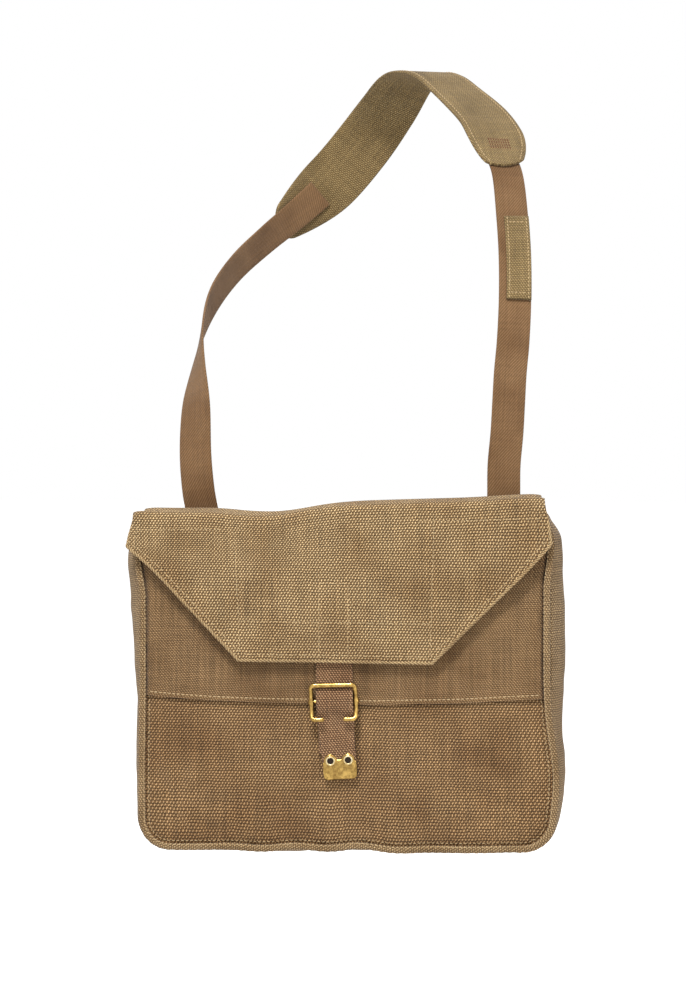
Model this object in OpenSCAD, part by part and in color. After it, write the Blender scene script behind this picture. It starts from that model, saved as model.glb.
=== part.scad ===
// Webbing haversack, hanging from its shoulder strap as it does when it is worn.
// Millimetres, +Z up, +Y towards the wearer. The origin is the underside of the
// shoulder pad at the top of the strap, where the strap rests on the shoulder.

/* [Bag] */
// Width of the front and back panels, between the side seams
panel_w = 336; // [280:1:404]
// Height of the panels, from the bottom seam to the mouth
panel_h = 287; // [239:1:345]
// Depth of the bag over the two panels
bag_d = 60; // [48:1:72]
// Radius of the two bottom corners, at the seam
corner_r = 34; // [28:1:60]
// How far the gusset stands out past the seams
gusset_bulge = 10; // [6:1:14]
// Thickness of the heavy webbing cloth
cloth_t = 2.4; // [1.8:0.1:3]
// Radius of the stitched ridge along the seams
seam_r = 3.4; // [3.2:0.1:4]
// How far the front band's lower edge lies below the flap's hem
band_below = 33.8; // [28:0.1:45]
// Thickness of the front band
band_t = 2.4; // [1.8:0.1:3]
// Depth of the hems and facings inside the mouth
facing_h = 30; // [15:1:45]
// Thickness of the hems and facings inside the mouth
facing_t = 2; // [1:0.1:2.4]

/* [Flap] */
// How far the flap stands out past each side seam
flap_over = 12; // [6:1:20]
// How far the flap hangs down the front
flap_drop = 136; // [110:1:164]
// Length of the straight side edges, above the cut corners
flap_side = 38; // [25:1:70]
// Width of the hem between the cut corners
hem_w = 163; // [130:1:220]
// Sideways set of the flap as it hangs
flap_x = -5; // [-8:0.5:8]
// Thickness of the flap cloth
flap_t = 2.4; // [1.8:0.1:3]
// Thickness of the lining behind the hem
lining_t = 1.4; // [1:0.1:2]
// Width of the lining
lining_w = 158; // [100:1:160]
// Bare stretch of flap above the lining
lining_top = 24; // [18:1:40]

/* [Closure strap] */
// Sideways set of the closure strap and its buckle
closure_x = -9; // [-12:0.5:12]
// Width of the closure strap
closure_w = 29; // [22:0.5:31]
// Thickness of the closure strap
closure_t = 2; // [1.4:0.1:2.2]
// Length sewn behind the flap, above the hem
closure_sewn = 66; // [40:1:75]
// How far the end of the closure strap hangs below its buckle's bar
closure_below = 65.2; // [54:0.1:79]
// Angle the closure strap leans at, in degrees
closure_lean = 2; // [0:0.5:2.5]

/* [Buckles] */
// Play of a strap in its buckle, on each side
strap_play = 2.4; // [1.5:0.1:4]
// Outer height of a buckle
buckle_h = 32.5; // [30:0.5:36]
// Diameter of the buckle's wire
wire_d = 3.6; // [3:0.1:3.8]
// Diameter of the middle bar
bar_d = 3.2; // [2.6:0.1:3.4]
// Gap between the tips of the two prongs
prong_gap = 15; // [10:1:20]
// How far the ends of the front buckle curve away from its bar
front_sag = 4.5; // [4.4:0.1:6]
// How far the ends of the back buckles curve away from their bars
back_sag = 8.2; // [8:0.1:10]
// Distance of the back buckles from the side seams
back_bar_inset = 38; // [30:1:60]
// Height of the back buckles' bars below the mouth
back_bar_drop = 26; // [17:1:34]
// Width of the webbing loops that hold the buckles
chape_w = 26; // [18:1:28]
// Thickness of the webbing loops
chape_t = 1.6; // [1.2:0.1:1.8]
// Length of the back buckles' loops below their bars
back_chape_l = 48; // [30:1:90]

/* [Strap tips and eyelets] */
// Height of a folded brass tip
tip_h = 20.6; // [18:0.1:24]
// Thickness of the brass sheet
tip_t = 0.8; // [0.5:0.1:1]
// Outer diameter of an eyelet
eyelet_d = 8.1; // [7:0.1:9]
// Diameter of an eyelet's hole
eyelet_hole = 5; // [4:0.1:5.5]
// Height of the eyelets above the end of the closure strap
eyelet_up = 15.6; // [12:0.1:18]
// Distance between the two eyelets
eyelet_pitch = 15; // [13:0.5:17]

/* [Shoulder strap] */
// Width of the shoulder strap
strap_w = 28.5; // [22:0.5:32]
// Thickness of the shoulder strap
strap_t = 2; // [1.4:0.1:2.2]
// Width of the shoulder pad
pad_w = 56; // [40:1:70]
// Thickness of the shoulder pad
pad_t = 3; // [2:0.1:5]
// Length of the strap hanging below each back buckle's bar
strap_tail = 95; // [85:1:140]
// Thickness of the doubled strap end sewn on the front run
overlap_t = 2.2; // [1.4:0.1:3]
// Width of the doubled strap end
overlap_w = 22; // [16:0.5:24]

/* [Hidden] */
$fn = 48;

// Gap between soft pieces that move against each other
soft_gap = 0.3;
// Gap between the shoulder pad and the strap sewn under its twisting ends
pad_gap = 0.6;
// Gap that lets the closure strap lie over the front band
strap_gap = 0.6;
// Gap between the flap and the mouth below it
flap_gap = 0.4;
// Radial clearance of a bar in its buckle
bar_fit = 0.05;
// Radial clearance of a webbing loop round its bar
loop_fit = 0.2;
// How far a webbing loop's bend stands off the cloth it is sewn to
loop_seat = 0.05;
// How much fatter than the wire a buckle is at its corners and prong tips
bend_swell = 0.15;
// How far a buckle's boss stands past its wire on each side
boss_lip = 0.3;
// How far the seam ridge reaches in over the panels
seam_in = 5;
// How far the seam ridge's middle lies inside the seam line
seam_mid = 2;

webbing = "#8c6c46";
flap_cloth = "#a5855a";
strap_cloth = "#8f6f4b";
closure_cloth = "#96705a";
brass = "#b4963c";

// Heights in the bag's own frame, which has its origin under the middle of the bag
bottom_z = gusset_bulge;
mouth_z = bottom_z + panel_h;
top_z = mouth_z + flap_gap + flap_t;
hem_z = top_z - flap_drop;
band_z = hem_z - band_below;
// The front buckle's bar lies on the lower edge of the band
front_bar_z = band_z;
back_bar_z = mouth_z - back_bar_drop;
closure_end_z = front_bar_z - closure_below;
eyelet_z = closure_end_z + eyelet_up;
// The front webbing loop ends above the eyelets that hang in front of it
front_chape_l = front_bar_z - eyelet_z - eyelet_d / 2 - 1;

// Depths, positive towards the wearer
panel_y = bag_d / 2;
inside_y = panel_y - cloth_t;
front_y = -panel_y;
closure_y = front_y - band_t - strap_gap - closure_t / 2;
lining_y = closure_y - closure_t / 2;
flap_in_y = lining_y - lining_t;
flap_w = panel_w + 2 * flap_over;
flap_out_y = flap_in_y - flap_t;

// Webbing loop and buckle bar
loop_r = bar_d / 2 + loop_fit;
loop_out = loop_r + chape_t;
bar_off = loop_out + loop_seat;
post_h = (buckle_h - wire_d) / 2;
buckle_w = max(strap_w, closure_w) + 2 * strap_play + 2 * wire_d;
side_x = (buckle_w - wire_d) / 2;
boss_r = bar_d / 2 + 1.2;

// The strap lies just clear of the webbing loops on the back buckles
strap_y = panel_y + bar_off + loop_out + soft_gap + strap_t / 2;
tail_z = back_bar_z - strap_tail;
attach_x = panel_w / 2 - back_bar_inset;

// The shoulder strap's middle line above the bag, from the right buckle up the
// chest, over the shoulder, down the back and round to the left buckle: how far
// across, behind the back panel and above the mouth, each with the direction that
// the strap's outer face looks in.
hanging = [
  [[130, 13.5, 31], [0, -1, 0.1]],
  [[132, 21, 58], [0, -1, 0.2]],
  [[133, 29, 84], [0, -1, 0.2]],
  [[134, 37, 110], [0, -1, 0.2]],
  [[136, 45, 137], [0.1, -1, 0.2]],
  [[137, 56, 173], [0.15, -1, 0.3]],
  [[136, 70, 211], [0.2, -1, 0.3]],
  [[133, 87, 246], [0.2, -1, 0.4]],
  [[128, 110, 283], [0.3, -1, 0.5]],
  [[121, 126, 303], [0.4, -1, 0.6]],
  [[112, 146, 325], [0.5, -1, 0.8]],
  [[99, 168, 343], [0.5, -0.9, 1]],
  [[76, 196, 365], [0.4, -0.6, 1]],
  [[58, 216, 380], [0.2, -0.3, 1]],
  [[42, 234, 385], [0, 0, 1]],
  [[24, 255, 377], [-0.1, 0.5, 1]],
  [[5, 276, 355], [-0.1, 0.9, 0.7]],
  [[-20, 290, 325], [0, 1, 0.4]],
  [[-48, 292, 293], [-0.1, 1, 0.2]],
  [[-78, 276, 263], [-0.4, 0.9, 0.2]],
  [[-106, 242, 235], [-0.7, 0.7, 0.2]],
  [[-128, 195, 207], [-0.9, 0.4, 0.1]],
  [[-141, 142, 177], [-1, 0.1, 0]],
  [[-145, 95, 146], [-1, -0.3, 0]],
  [[-144, 58, 111], [-0.7, -0.7, 0]],
  [[-140, 32, 75], [-0.3, -1, 0.1]],
  [[-135, 17, 39], [-0.1, -1, 0.1]]
];
// How far across the buckles stood when the points above were chosen
hanging_attach_x = 130;

// The strap where it hangs in a buckle, from its tail to just above the mouth
function in_buckle(x) = [for (z = [tail_z, tail_z + 45, back_bar_z - 15, back_bar_z + 5, mouth_z + 7])
  [[x, strap_y, z], [0, -1, 0]]];

// The whole route, from the right tail to the left one
left_points = in_buckle(-attach_x);
strap_route = concat(
  in_buckle(attach_x),
  [for (point = hanging) [
    [point[0][0] * attach_x / hanging_attach_x, panel_y + point[0][1], mouth_z + point[0][2]],
    point[1]
  ]],
  [for (i = [len(left_points) - 1 : -1 : 0]) left_points[i]]
);
// Places along the route, counted in its points
top_at = 19;
front_run_to = 14.6;
back_run_from = 23.4;
pad_from = 13.4;
pad_to = 24.6;
overlap_from = 10;
overlap_to = 12;
// Spacing of the swept sections, in points of the route
route_step = 0.1;
last_at = len(strap_route) - 1;

shoulder = strap_route[top_at][0] + [0, 0, strap_t / 2 + pad_gap];

// ---- Curves and sweeps ----

function unit(v) = v / norm(v);

function between(a, b, c, d, t) = 0.5 * (2 * b + (c - a) * t
  + (2 * a - 5 * b + 4 * c - d) * t * t + (3 * b - a - 3 * c + d) * t * t * t);

function route_value(k, u) = let (
  i = min(floor(u), last_at - 1),
  before = strap_route[max(i - 1, 0)][k],
  after = strap_route[min(i + 2, last_at)][k]
) between(before, strap_route[i][k], strap_route[i + 1][k], after, u - i);

function route_along(u) =
  unit(route_value(0, min(u + 0.02, last_at)) - route_value(0, max(u - 0.02, 0)));

// The outer face's direction, square to the strap
function route_out(u) = let (
  along = route_along(u),
  out = route_value(1, u)
) unit(out - (out * along) * along);

function route_side(u) = cross(route_along(u), route_out(u));

// A flat band along the route: its width at u, how far its underside lies outside
// the strap's middle line, its thickness, and how far it is set to one side
module band_sweep(from, to, width_at, under, thick, aside = 0) {
  steps = round((to - from) / route_step);
  rings = [for (i = [0 : steps]) let (
      u = from + (to - from) * i / steps,
      middle = route_value(0, u) + route_side(u) * aside,
      half = route_side(u) * width_at(u) / 2,
      low = route_out(u) * under,
      high = route_out(u) * (under + thick)
    ) each [middle - half + low, middle + half + low, middle + half + high, middle - half + high]];
  walls = [for (i = [0 : steps - 1], k = [0 : 3]) let (a = 4 * i + k, b = 4 * i + (k + 1) % 4)
      each [[a, a + 4, b], [b, a + 4, b + 4]]];
  polyhedron(rings, concat([[0, 1, 2], [0, 2, 3]], walls,
      [[4 * steps + 2, 4 * steps + 1, 4 * steps], [4 * steps + 3, 4 * steps + 2, 4 * steps]]));
}

// ---- Shapes that repeat ----

// Puts a piece drawn in the bag's frame where it hangs below the shoulder
module hung() {
  translate(-shoulder) children();
}

// Runs a section round the sides and bottom of the bag; the section's x is outwards
// from the seam line and its y is the depth
module round_the_edge() {
  straight = panel_w - 2 * corner_r;
  for (side = [0, 1]) mirror([side, 0, 0]) {
    translate([panel_w / 2, 0, bottom_z + corner_r])
      linear_extrude(panel_h - corner_r) children();
    translate([panel_w / 2 - corner_r, 0, bottom_z + corner_r])
      rotate([90, 0, 0]) rotate([0, 0, -90]) rotate_extrude(angle = 90)
        translate([corner_r, 0]) mirror([0, 1]) children();
  }
  translate([-straight / 2, 0, bottom_z]) rotate([0, 90, 0])
    linear_extrude(straight) children();
}

// A plate in the plane of the panels, from an outline in x and z
module upright(y, thick) {
  translate([0, y + thick, 0]) rotate([90, 0, 0]) linear_extrude(thick) children();
}

module panel_outline() {
  r = corner_r - seam_in;
  half = panel_w / 2 - seam_in;
  low = bottom_z + seam_in;
  translate([-half, low + r]) square([2 * half, mouth_z - low - r]);
  translate([-half + r, low]) square([2 * (half - r), r]);
  for (side = [-1, 1]) translate([side * (half - r), low + r]) circle(r);
}

// A strip of the gusset's curved section, between two depths inside its outer face
module gusset_section(outer, inner, half_d) {
  rise_r = (inside_y * inside_y + gusset_bulge * gusset_bulge) / (2 * gusset_bulge);
  intersection() {
    difference() {
      translate([gusset_bulge - rise_r, 0]) circle(rise_r - outer, $fn = 96);
      translate([gusset_bulge - rise_r, 0]) circle(rise_r - inner, $fn = 96);
    }
    translate([gusset_bulge - rise_r + 8, -half_d]) square([rise_r, 2 * half_d]);
  }
}

// The stitched ridge that joins a panel to the gusset, drawn at the front
module seam_section() {
  intersection() {
    translate([-seam_mid, front_y + 0.2]) circle(seam_r);
    translate([-seam_in, front_y - seam_r]) square([2 * seam_r + seam_in, seam_r + cloth_t]);
  }
}

// A webbing loop round a buckle's bar, sewn flat below it. The cloth it is sewn to is
// at y = 0, and lift is how far the bar's seat stands off that cloth.
module chape(length, lift) {
  bend = 12.5;
  bar_y = -lift - bar_off;
  rotate([90, 0, 90]) difference() {
    union() {
      translate([bar_y, 0, -chape_w / 2]) cylinder(h = chape_w, r = loop_out);
      translate([0, 0, -chape_w / 2]) linear_extrude(chape_w) polygon([
        [bar_y - loop_out / 2, 0], [-lift - loop_seat, 0], [0, -2 * lift], [0, -length],
        [-2 * chape_t, -length], [-2 * chape_t, -bend - lift],
        [bar_y - loop_out / 2, -loop_out / 2]
      ]);
    }
    translate([bar_y, 0, -chape_w]) cylinder(h = 2 * chape_w, r = loop_r);
  }
}

// An open-fronted wire buckle, its bar along x at the origin, its ends curved to -y
module buckle_frame(sag) {
  bend_r = (post_h * post_h + sag * sag) / (2 * sag);
  swing = asin(post_h / bend_r);
  reach = side_x - prong_gap / 2 - wire_d / 2;
  difference() {
    union() {
      for (side = [-1, 1]) {
        translate([side * side_x, -bend_r, 0]) rotate(a = 120, v = [1, 1, 1])
          rotate([0, 0, -swing]) rotate_extrude(angle = 2 * swing)
            translate([bend_r, 0]) circle(d = wire_d);
        for (end = [-1, 1]) translate([side * side_x, -sag, end * post_h])
          sphere(d = wire_d + 2 * bend_swell);
        translate([side * side_x, -sag, -post_h]) rotate([0, -side * 90, 0])
          cylinder(h = reach, d = wire_d);
        translate([side * (prong_gap + wire_d) / 2, -sag, -post_h])
          sphere(d = wire_d + 2 * bend_swell);
        translate([side * side_x, 0, 0]) rotate([0, 90, 0])
          cylinder(h = wire_d + 2 * boss_lip, r = boss_r, center = true);
      }
      translate([-side_x, -sag, post_h]) rotate([0, 90, 0]) cylinder(h = 2 * side_x, d = wire_d);
    }
    rotate([0, 90, 0]) cylinder(h = buckle_w + 4, r = bar_d / 2 + bar_fit, center = true);
  }
}

module buckle_bar() {
  rotate([0, 90, 0]) cylinder(h = buckle_w - 0.4, d = bar_d, center = true);
}

// Places what belongs to the front buckle, whose bar is then at the origin
module at_front_buckle() {
  hung() translate([closure_x, front_y - band_t - bar_off, front_bar_z]) children();
}

module at_back_buckle(side) {
  hung() translate([side * attach_x, panel_y + bar_off, back_bar_z])
    rotate([0, 0, 180]) children();
}

// Brass sheet folded under the end of a strap, drawn with the strap's end at z = 0
module folded_tip(width, inside, front_h, back_h) {
  translate([-width / 2, -inside / 2 - tip_t, -tip_t]) cube([width, tip_t, front_h]);
  translate([-width / 2, inside / 2, -tip_t]) cube([width, tip_t, back_h]);
  translate([-width / 2, -inside / 2 - tip_t, -tip_t]) cube([width, inside + 2 * tip_t, tip_t]);
}

// Places what belongs to the closure strap, which leans about the flap's hem
module on_closure() {
  hung() translate([closure_x, 0, hem_z]) rotate([0, -closure_lean, 0])
    translate([0, 0, -hem_z]) children();
}

closure_low_y = front_y - 2 * chape_t - soft_gap - closure_t / 2;

// ---- The bag ----

module front_panel() color(webbing) hung() upright(front_y, cloth_t) panel_outline();

module front_band() color(webbing) hung() upright(front_y - band_t, band_t)
  translate([-panel_w / 2 + seam_in + soft_gap, band_z])
    square([panel_w - 2 * (seam_in + soft_gap), mouth_z - band_z]);

module back_panel() color(webbing) hung() upright(inside_y, cloth_t) panel_outline();

module gusset() color(webbing) hung() round_the_edge()
  gusset_section(0, cloth_t, inside_y);

module gusset_hem() color(webbing) hung() intersection() {
  round_the_edge()
    gusset_section(cloth_t + soft_gap, cloth_t + soft_gap + facing_t, inside_y - facing_t - 1.4);
  translate([-panel_w, -bag_d, mouth_z - facing_h]) cube([2 * panel_w, 2 * bag_d, facing_h]);
}

module front_seam() color(webbing) hung() round_the_edge() seam_section();

module back_seam() color(webbing) hung() round_the_edge() mirror([0, 1]) seam_section();

module mouth_facing() color(webbing) hung() upright(-inside_y, facing_t)
  translate([-panel_w / 2 + 8, mouth_z - facing_h]) square([panel_w - 16, facing_h]);

module flap_anchor() color(flap_cloth) hung() upright(inside_y - facing_t, facing_t)
  translate([-panel_w / 2 + 8, mouth_z - facing_h]) square([panel_w - 16, facing_h]);

module front_chape() color(closure_cloth) hung()
  translate([closure_x, front_y, front_bar_z]) chape(front_chape_l, band_t);

module back_chape(side) color(closure_cloth) hung()
  translate([side * attach_x, panel_y, back_bar_z]) rotate([0, 0, 180]) chape(back_chape_l, 0);

module back_chape_left() back_chape(-1);

module back_chape_right() back_chape(1);

// ---- The flap and its closure strap ----

module flap_top() color(flap_cloth) hung()
  translate([flap_x - flap_w / 2, flap_in_y + soft_gap, top_z - flap_t])
    cube([flap_w, panel_y - flap_in_y - soft_gap, flap_t]);

module flap_front() color(flap_cloth) hung() upright(flap_out_y, flap_t) polygon([
  [flap_x - flap_w / 2, top_z], [flap_x - flap_w / 2, top_z - flap_side],
  [closure_x - hem_w / 2, hem_z], [closure_x + hem_w / 2, hem_z],
  [flap_x + flap_w / 2, top_z - flap_side], [flap_x + flap_w / 2, top_z]
]);

module flap_lining() color(flap_cloth) hung() upright(flap_in_y, lining_t)
  translate([closure_x - lining_w / 2, hem_z]) square([lining_w, flap_drop - lining_top]);

module closure_strap() {
  over_y = front_y - band_t - bar_off - loop_out - soft_gap - closure_t / 2;
  middle = [
    [closure_y, hem_z + closure_sewn], [closure_y, front_bar_z + 17],
    [over_y, front_bar_z + 3.5], [over_y, front_bar_z - 3.5],
    [closure_low_y, front_bar_z - 15.5], [closure_low_y, closure_end_z]
  ];
  last = len(middle) - 1;
  color(closure_cloth) on_closure() difference() {
    rotate([90, 0, 90]) translate([0, 0, -closure_w / 2]) linear_extrude(closure_w)
      polygon(concat(
        [for (i = [0 : last]) middle[i] - [closure_t / 2, 0]],
        [for (i = [0 : last]) middle[last - i] + [closure_t / 2, 0]]
      ));
    for (side = [-1, 1]) translate([side * eyelet_pitch / 2, closure_low_y, eyelet_z])
      rotate([90, 0, 0]) cylinder(h = 4 * closure_t, d = eyelet_hole + 0.9, center = true);
  }
}

module closure_tip() color(brass) on_closure() difference() {
  translate([0, closure_low_y, closure_end_z])
    folded_tip(closure_w + 1, closure_t, 17.6 + tip_t, 12.6 + tip_t);
  for (side = [-1, 1]) translate([side * eyelet_pitch / 2, closure_low_y, eyelet_z])
    rotate([90, 0, 0]) cylinder(h = 6 * closure_t, d = eyelet_d + 0.4, center = true);
}

// A rolled ring on the front of the strap and its barrel through the strap
module tip_eyelets() color(brass) on_closure()
  for (side = [-1, 1]) translate([side * eyelet_pitch / 2, closure_low_y, eyelet_z])
    rotate([90, 0, 0]) difference() {
      union() {
        translate([0, 0, closure_t / 2]) cylinder(h = 1.2, d = eyelet_d);
        translate([0, 0, -closure_t / 2]) cylinder(h = closure_t + 0.6, d = eyelet_hole + 0.8);
        translate([0, 0, -closure_t / 2 - 0.6]) cylinder(h = 0.6, d = eyelet_d - 0.6);
      }
      cylinder(h = 6 * closure_t, d = eyelet_hole, center = true);
    }

module front_buckle() color(brass) at_front_buckle() buckle_frame(front_sag);

module front_buckle_bar() color(brass) at_front_buckle() buckle_bar();

// ---- The shoulder strap and the buckles it runs through ----

module back_buckle_left() color(brass) at_back_buckle(-1) buckle_frame(back_sag);

module back_buckle_right() color(brass) at_back_buckle(1) buckle_frame(back_sag);

module back_bar_left() color(brass) at_back_buckle(-1) buckle_bar();

module back_bar_right() color(brass) at_back_buckle(1) buckle_bar();

module strap_front_run() color(strap_cloth) hung()
  band_sweep(0, front_run_to, function (u) strap_w, -strap_t / 2, strap_t);

module strap_back_run() color(strap_cloth) hung()
  band_sweep(back_run_from, last_at, function (u) strap_w, -strap_t / 2, strap_t);

// The pad is as wide as the strap at its two ends and swells between them
module shoulder_pad() {
  swell = 1.6;
  width = function (u) let (
    end = min(u - pad_from, pad_to - u) / swell,
    share = end < 1 ? sin(90 * max(end, 0)) : 1
  ) strap_w + 3 + (pad_w - strap_w - 3) * share;
  color(strap_cloth) hung()
    band_sweep(pad_from, pad_to, width, strap_t / 2 + pad_gap, pad_t);
}

module strap_overlap() color(strap_cloth) hung()
  band_sweep(overlap_from, overlap_to, function (u) overlap_w,
    strap_t / 2 + soft_gap, overlap_t, aside = (strap_w - overlap_w) / 2);

module end_tip(side) color(brass) hung() translate([side * attach_x, strap_y, tail_z])
  folded_tip(strap_w + 1, strap_t, tip_h - 3, tip_h - 3);

module end_tip_left() end_tip(-1);

module end_tip_right() end_tip(1);

front_panel();
front_band();
back_panel();
gusset();
gusset_hem();
front_seam();
back_seam();
mouth_facing();
flap_anchor();
front_chape();
back_chape_left();
back_chape_right();
flap_top();
flap_front();
flap_lining();
closure_strap();
closure_tip();
tip_eyelets();
front_buckle();
front_buckle_bar();
back_buckle_left();
back_buckle_right();
back_bar_left();
back_bar_right();
strap_front_run();
strap_back_run();
shoulder_pad();
strap_overlap();
end_tip_left();
end_tip_right();
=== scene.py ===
"""The looks of a webbing haversack that hangs from its shoulder strap.

Every piece is modelled in millimetres in the bag's own frame, which has its origin
under the middle of the bag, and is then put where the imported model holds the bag.
"""

import logging
import math
from dataclasses import dataclass, field
from enum import Enum
from typing import Callable, Sequence

import bpy
import numpy as np
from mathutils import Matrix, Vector


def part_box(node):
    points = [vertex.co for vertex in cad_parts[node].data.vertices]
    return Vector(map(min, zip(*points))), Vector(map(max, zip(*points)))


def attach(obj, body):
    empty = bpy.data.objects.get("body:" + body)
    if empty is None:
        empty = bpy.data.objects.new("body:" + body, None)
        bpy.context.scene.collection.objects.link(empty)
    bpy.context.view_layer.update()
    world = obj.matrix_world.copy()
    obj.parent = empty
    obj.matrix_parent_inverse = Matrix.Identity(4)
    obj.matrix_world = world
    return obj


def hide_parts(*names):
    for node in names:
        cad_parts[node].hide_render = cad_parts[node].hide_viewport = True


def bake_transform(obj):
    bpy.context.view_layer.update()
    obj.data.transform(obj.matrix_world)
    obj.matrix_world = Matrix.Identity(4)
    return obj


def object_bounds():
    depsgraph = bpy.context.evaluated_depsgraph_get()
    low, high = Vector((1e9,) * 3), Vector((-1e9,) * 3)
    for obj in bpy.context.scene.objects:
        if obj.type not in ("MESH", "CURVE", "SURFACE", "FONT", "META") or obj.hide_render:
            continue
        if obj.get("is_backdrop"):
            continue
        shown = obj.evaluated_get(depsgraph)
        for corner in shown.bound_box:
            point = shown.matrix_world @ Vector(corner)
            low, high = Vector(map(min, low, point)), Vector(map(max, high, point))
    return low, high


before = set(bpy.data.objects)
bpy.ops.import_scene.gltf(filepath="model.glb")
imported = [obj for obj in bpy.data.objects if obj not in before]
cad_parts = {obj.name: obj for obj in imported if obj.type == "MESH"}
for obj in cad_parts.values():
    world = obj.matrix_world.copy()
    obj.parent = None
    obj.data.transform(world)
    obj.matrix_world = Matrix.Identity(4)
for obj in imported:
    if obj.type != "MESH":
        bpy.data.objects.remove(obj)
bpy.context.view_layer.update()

log = logging.getLogger("haversack")

MM = 0.001
CLOTH_MAP = "cloth"
# How far apart the points of the seam line are, in millimetres
RIM_STEP = 3.0

# A point for each pair of surface coordinates, all in millimetres
Surface = Callable[[np.ndarray, np.ndarray], np.ndarray]


class Body(Enum):
    """The bodies that pieces ride on."""

    BAG = "bag"
    FLAP_REAR = "flap_rear"
    FLAP_FACE = "flap_face"
    STRAP = "strap"
    CLOSURE_BUCKLE = "closure_buckle"
    BACK_BUCKLES = "back_buckles"


class Slot(Enum):
    """The record's material slots."""

    BODY = "body_webbing"
    FLAP = "flap_webbing"
    CLOSURE = "closure_webbing"
    STRAP = "strap_webbing"
    BRASS = "brass_fittings"


class Weave(Enum):
    """How the threads of a cloth cross."""

    BASKET = "basket"
    TWILL = "twill"


# ---- Numbers and curves ----


def linear(colour: str) -> tuple[float, float, float, float]:
    """Turns an sRGB hex colour to linear light.

    Args:
        colour: The colour as "#rrggbb".

    Returns:
        Red, green, blue and an alpha of 1.
    """
    parts = [int(colour[i : i + 2], 16) / 255 for i in (1, 3, 5)]
    return (*(c / 12.92 if c <= 0.04045 else ((c + 0.055) / 1.055) ** 2.4 for c in parts), 1.0)


def ease(value: np.ndarray, low: float, high: float) -> np.ndarray:
    """Rises smoothly from 0 at low to 1 at high.

    Args:
        value: What is measured.
        low: Where the rise starts.
        high: Where it ends, which may be the smaller number.

    Returns:
        The share of the rise at each value.
    """
    t = np.clip((value - low) / (high - low), 0, 1)
    return t * t * (3 - 2 * t)


def through(x: np.ndarray, points: Sequence[tuple[float, float]], soft: float = 16.0) -> np.ndarray:
    """Reads a line drawn through a few points, with its corners rounded.

    Args:
        x: Where it is read.
        points: The points, from left to right.
        soft: How far to each side the rounding reaches.

    Returns:
        The line's height at each x.
    """
    at, height = zip(*points)
    shifts = np.linspace(-soft, soft, 9)
    return sum(np.interp(x + shift, at, height) for shift in shifts) / len(shifts)


def wander(a: np.ndarray, b: np.ndarray, length: float, seed: int) -> np.ndarray:
    """A smooth uneven field between about -1 and 1.

    Args:
        a: First coordinate, in millimetres.
        b: Second coordinate, in millimetres.
        length: How far apart its humps are.
        seed: Chooses one of many such fields.

    Returns:
        The field's value at each point.
    """
    rng = np.random.default_rng(seed)
    waves = zip(rng.uniform(0, math.tau, 7), rng.uniform(0, math.tau, 7), rng.uniform(0.7, 1.5, 7))
    return sum(
        np.sin((a * math.cos(turn) + b * math.sin(turn)) * math.tau / (length * stretch) + phase)
        for turn, phase, stretch in waves
    ) / 3.2


def unit(vectors: np.ndarray) -> np.ndarray:
    """Gives each vector a length of 1."""
    return vectors / np.maximum(np.linalg.norm(vectors, axis=-1, keepdims=True), 1e-9)


def rounded_corners(points: Sequence[tuple[float, float]], rounds: int = 3) -> np.ndarray:
    """Cuts the corners of an open line until it is a smooth curve.

    Args:
        points: The line's corners.
        rounds: How many times each corner is cut.

    Returns:
        The curve's points, with both ends kept.
    """
    line = np.array(points, float)
    for _ in range(rounds):
        near = line[:-1] * 0.75 + line[1:] * 0.25
        far = line[:-1] * 0.25 + line[1:] * 0.75
        line = np.vstack([line[:1], np.stack([near, far], 1).reshape(-1, line.shape[1]), line[-1:]])
    return line


def distances(line: np.ndarray) -> np.ndarray:
    """How far along a line each of its points lies."""
    return np.concatenate([[0], np.cumsum(np.linalg.norm(np.diff(line, axis=0), axis=1))])


def evenly(line: np.ndarray, step: float) -> np.ndarray:
    """Walks along a line in even steps.

    Args:
        line: The line's points.
        step: About how long a step is.

    Returns:
        The points of the walk, with both ends of the line.
    """
    at = distances(line)
    stops = np.linspace(0, at[-1], max(2, round(at[-1] / step) + 1))
    return np.stack([np.interp(stops, at, line[:, k]) for k in range(line.shape[1])], 1)


def flat_section(width: float, thick: float, low: float = 0.0, ends: int = 4) -> np.ndarray:
    """The cross-section of a band of webbing, with rounded selvedges.

    Args:
        width: The band's width.
        thick: Its thickness.
        low: How far its underside lies from the path.
        ends: How many points round each selvedge.

    Returns:
        The section's points, anticlockwise, as sideways and upwards.
    """
    r = thick / 2
    turn = np.linspace(-math.pi / 2, math.pi / 2, ends + 1)
    right = np.stack([width / 2 - r + r * np.cos(turn), low + r + r * np.sin(turn)], 1)
    inner = np.linspace(width / 2 - r, -width / 2 + r, 7)[1:-1]
    top = np.stack([inner, np.full(len(inner), low + thick)], 1)
    left = right[::-1] * [-1, 1]
    bottom = np.stack([-inner, np.full(len(inner), low)], 1)
    return np.vstack([right, top, left, bottom])


def round_section(radius: float, sides: int = 10) -> np.ndarray:
    """The cross-section of a round cord.

    Args:
        radius: Its radius.
        sides: How many points it has.

    Returns:
        The section's points, anticlockwise, as sideways and upwards.
    """
    turn = np.linspace(0, math.tau, sides, endpoint=False)
    return np.stack([np.cos(turn), np.sin(turn)], 1) * radius


# ---- Meshes ----


def grid_faces(rows: int, cols: int, wrap: bool = False) -> np.ndarray:
    """The quads of a grid of points.

    Args:
        rows: How many rows the grid has.
        cols: How many points a row has.
        wrap: Whether each row closes on itself.

    Returns:
        Four point numbers for each quad.
    """
    r, c = np.meshgrid(np.arange(rows - 1), np.arange(cols if wrap else cols - 1), indexing="ij")
    a = r * cols + c
    b = r * cols + (c + 1) % cols
    return np.stack([a, b, b + cols, a + cols], -1).reshape(-1, 4)


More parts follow.
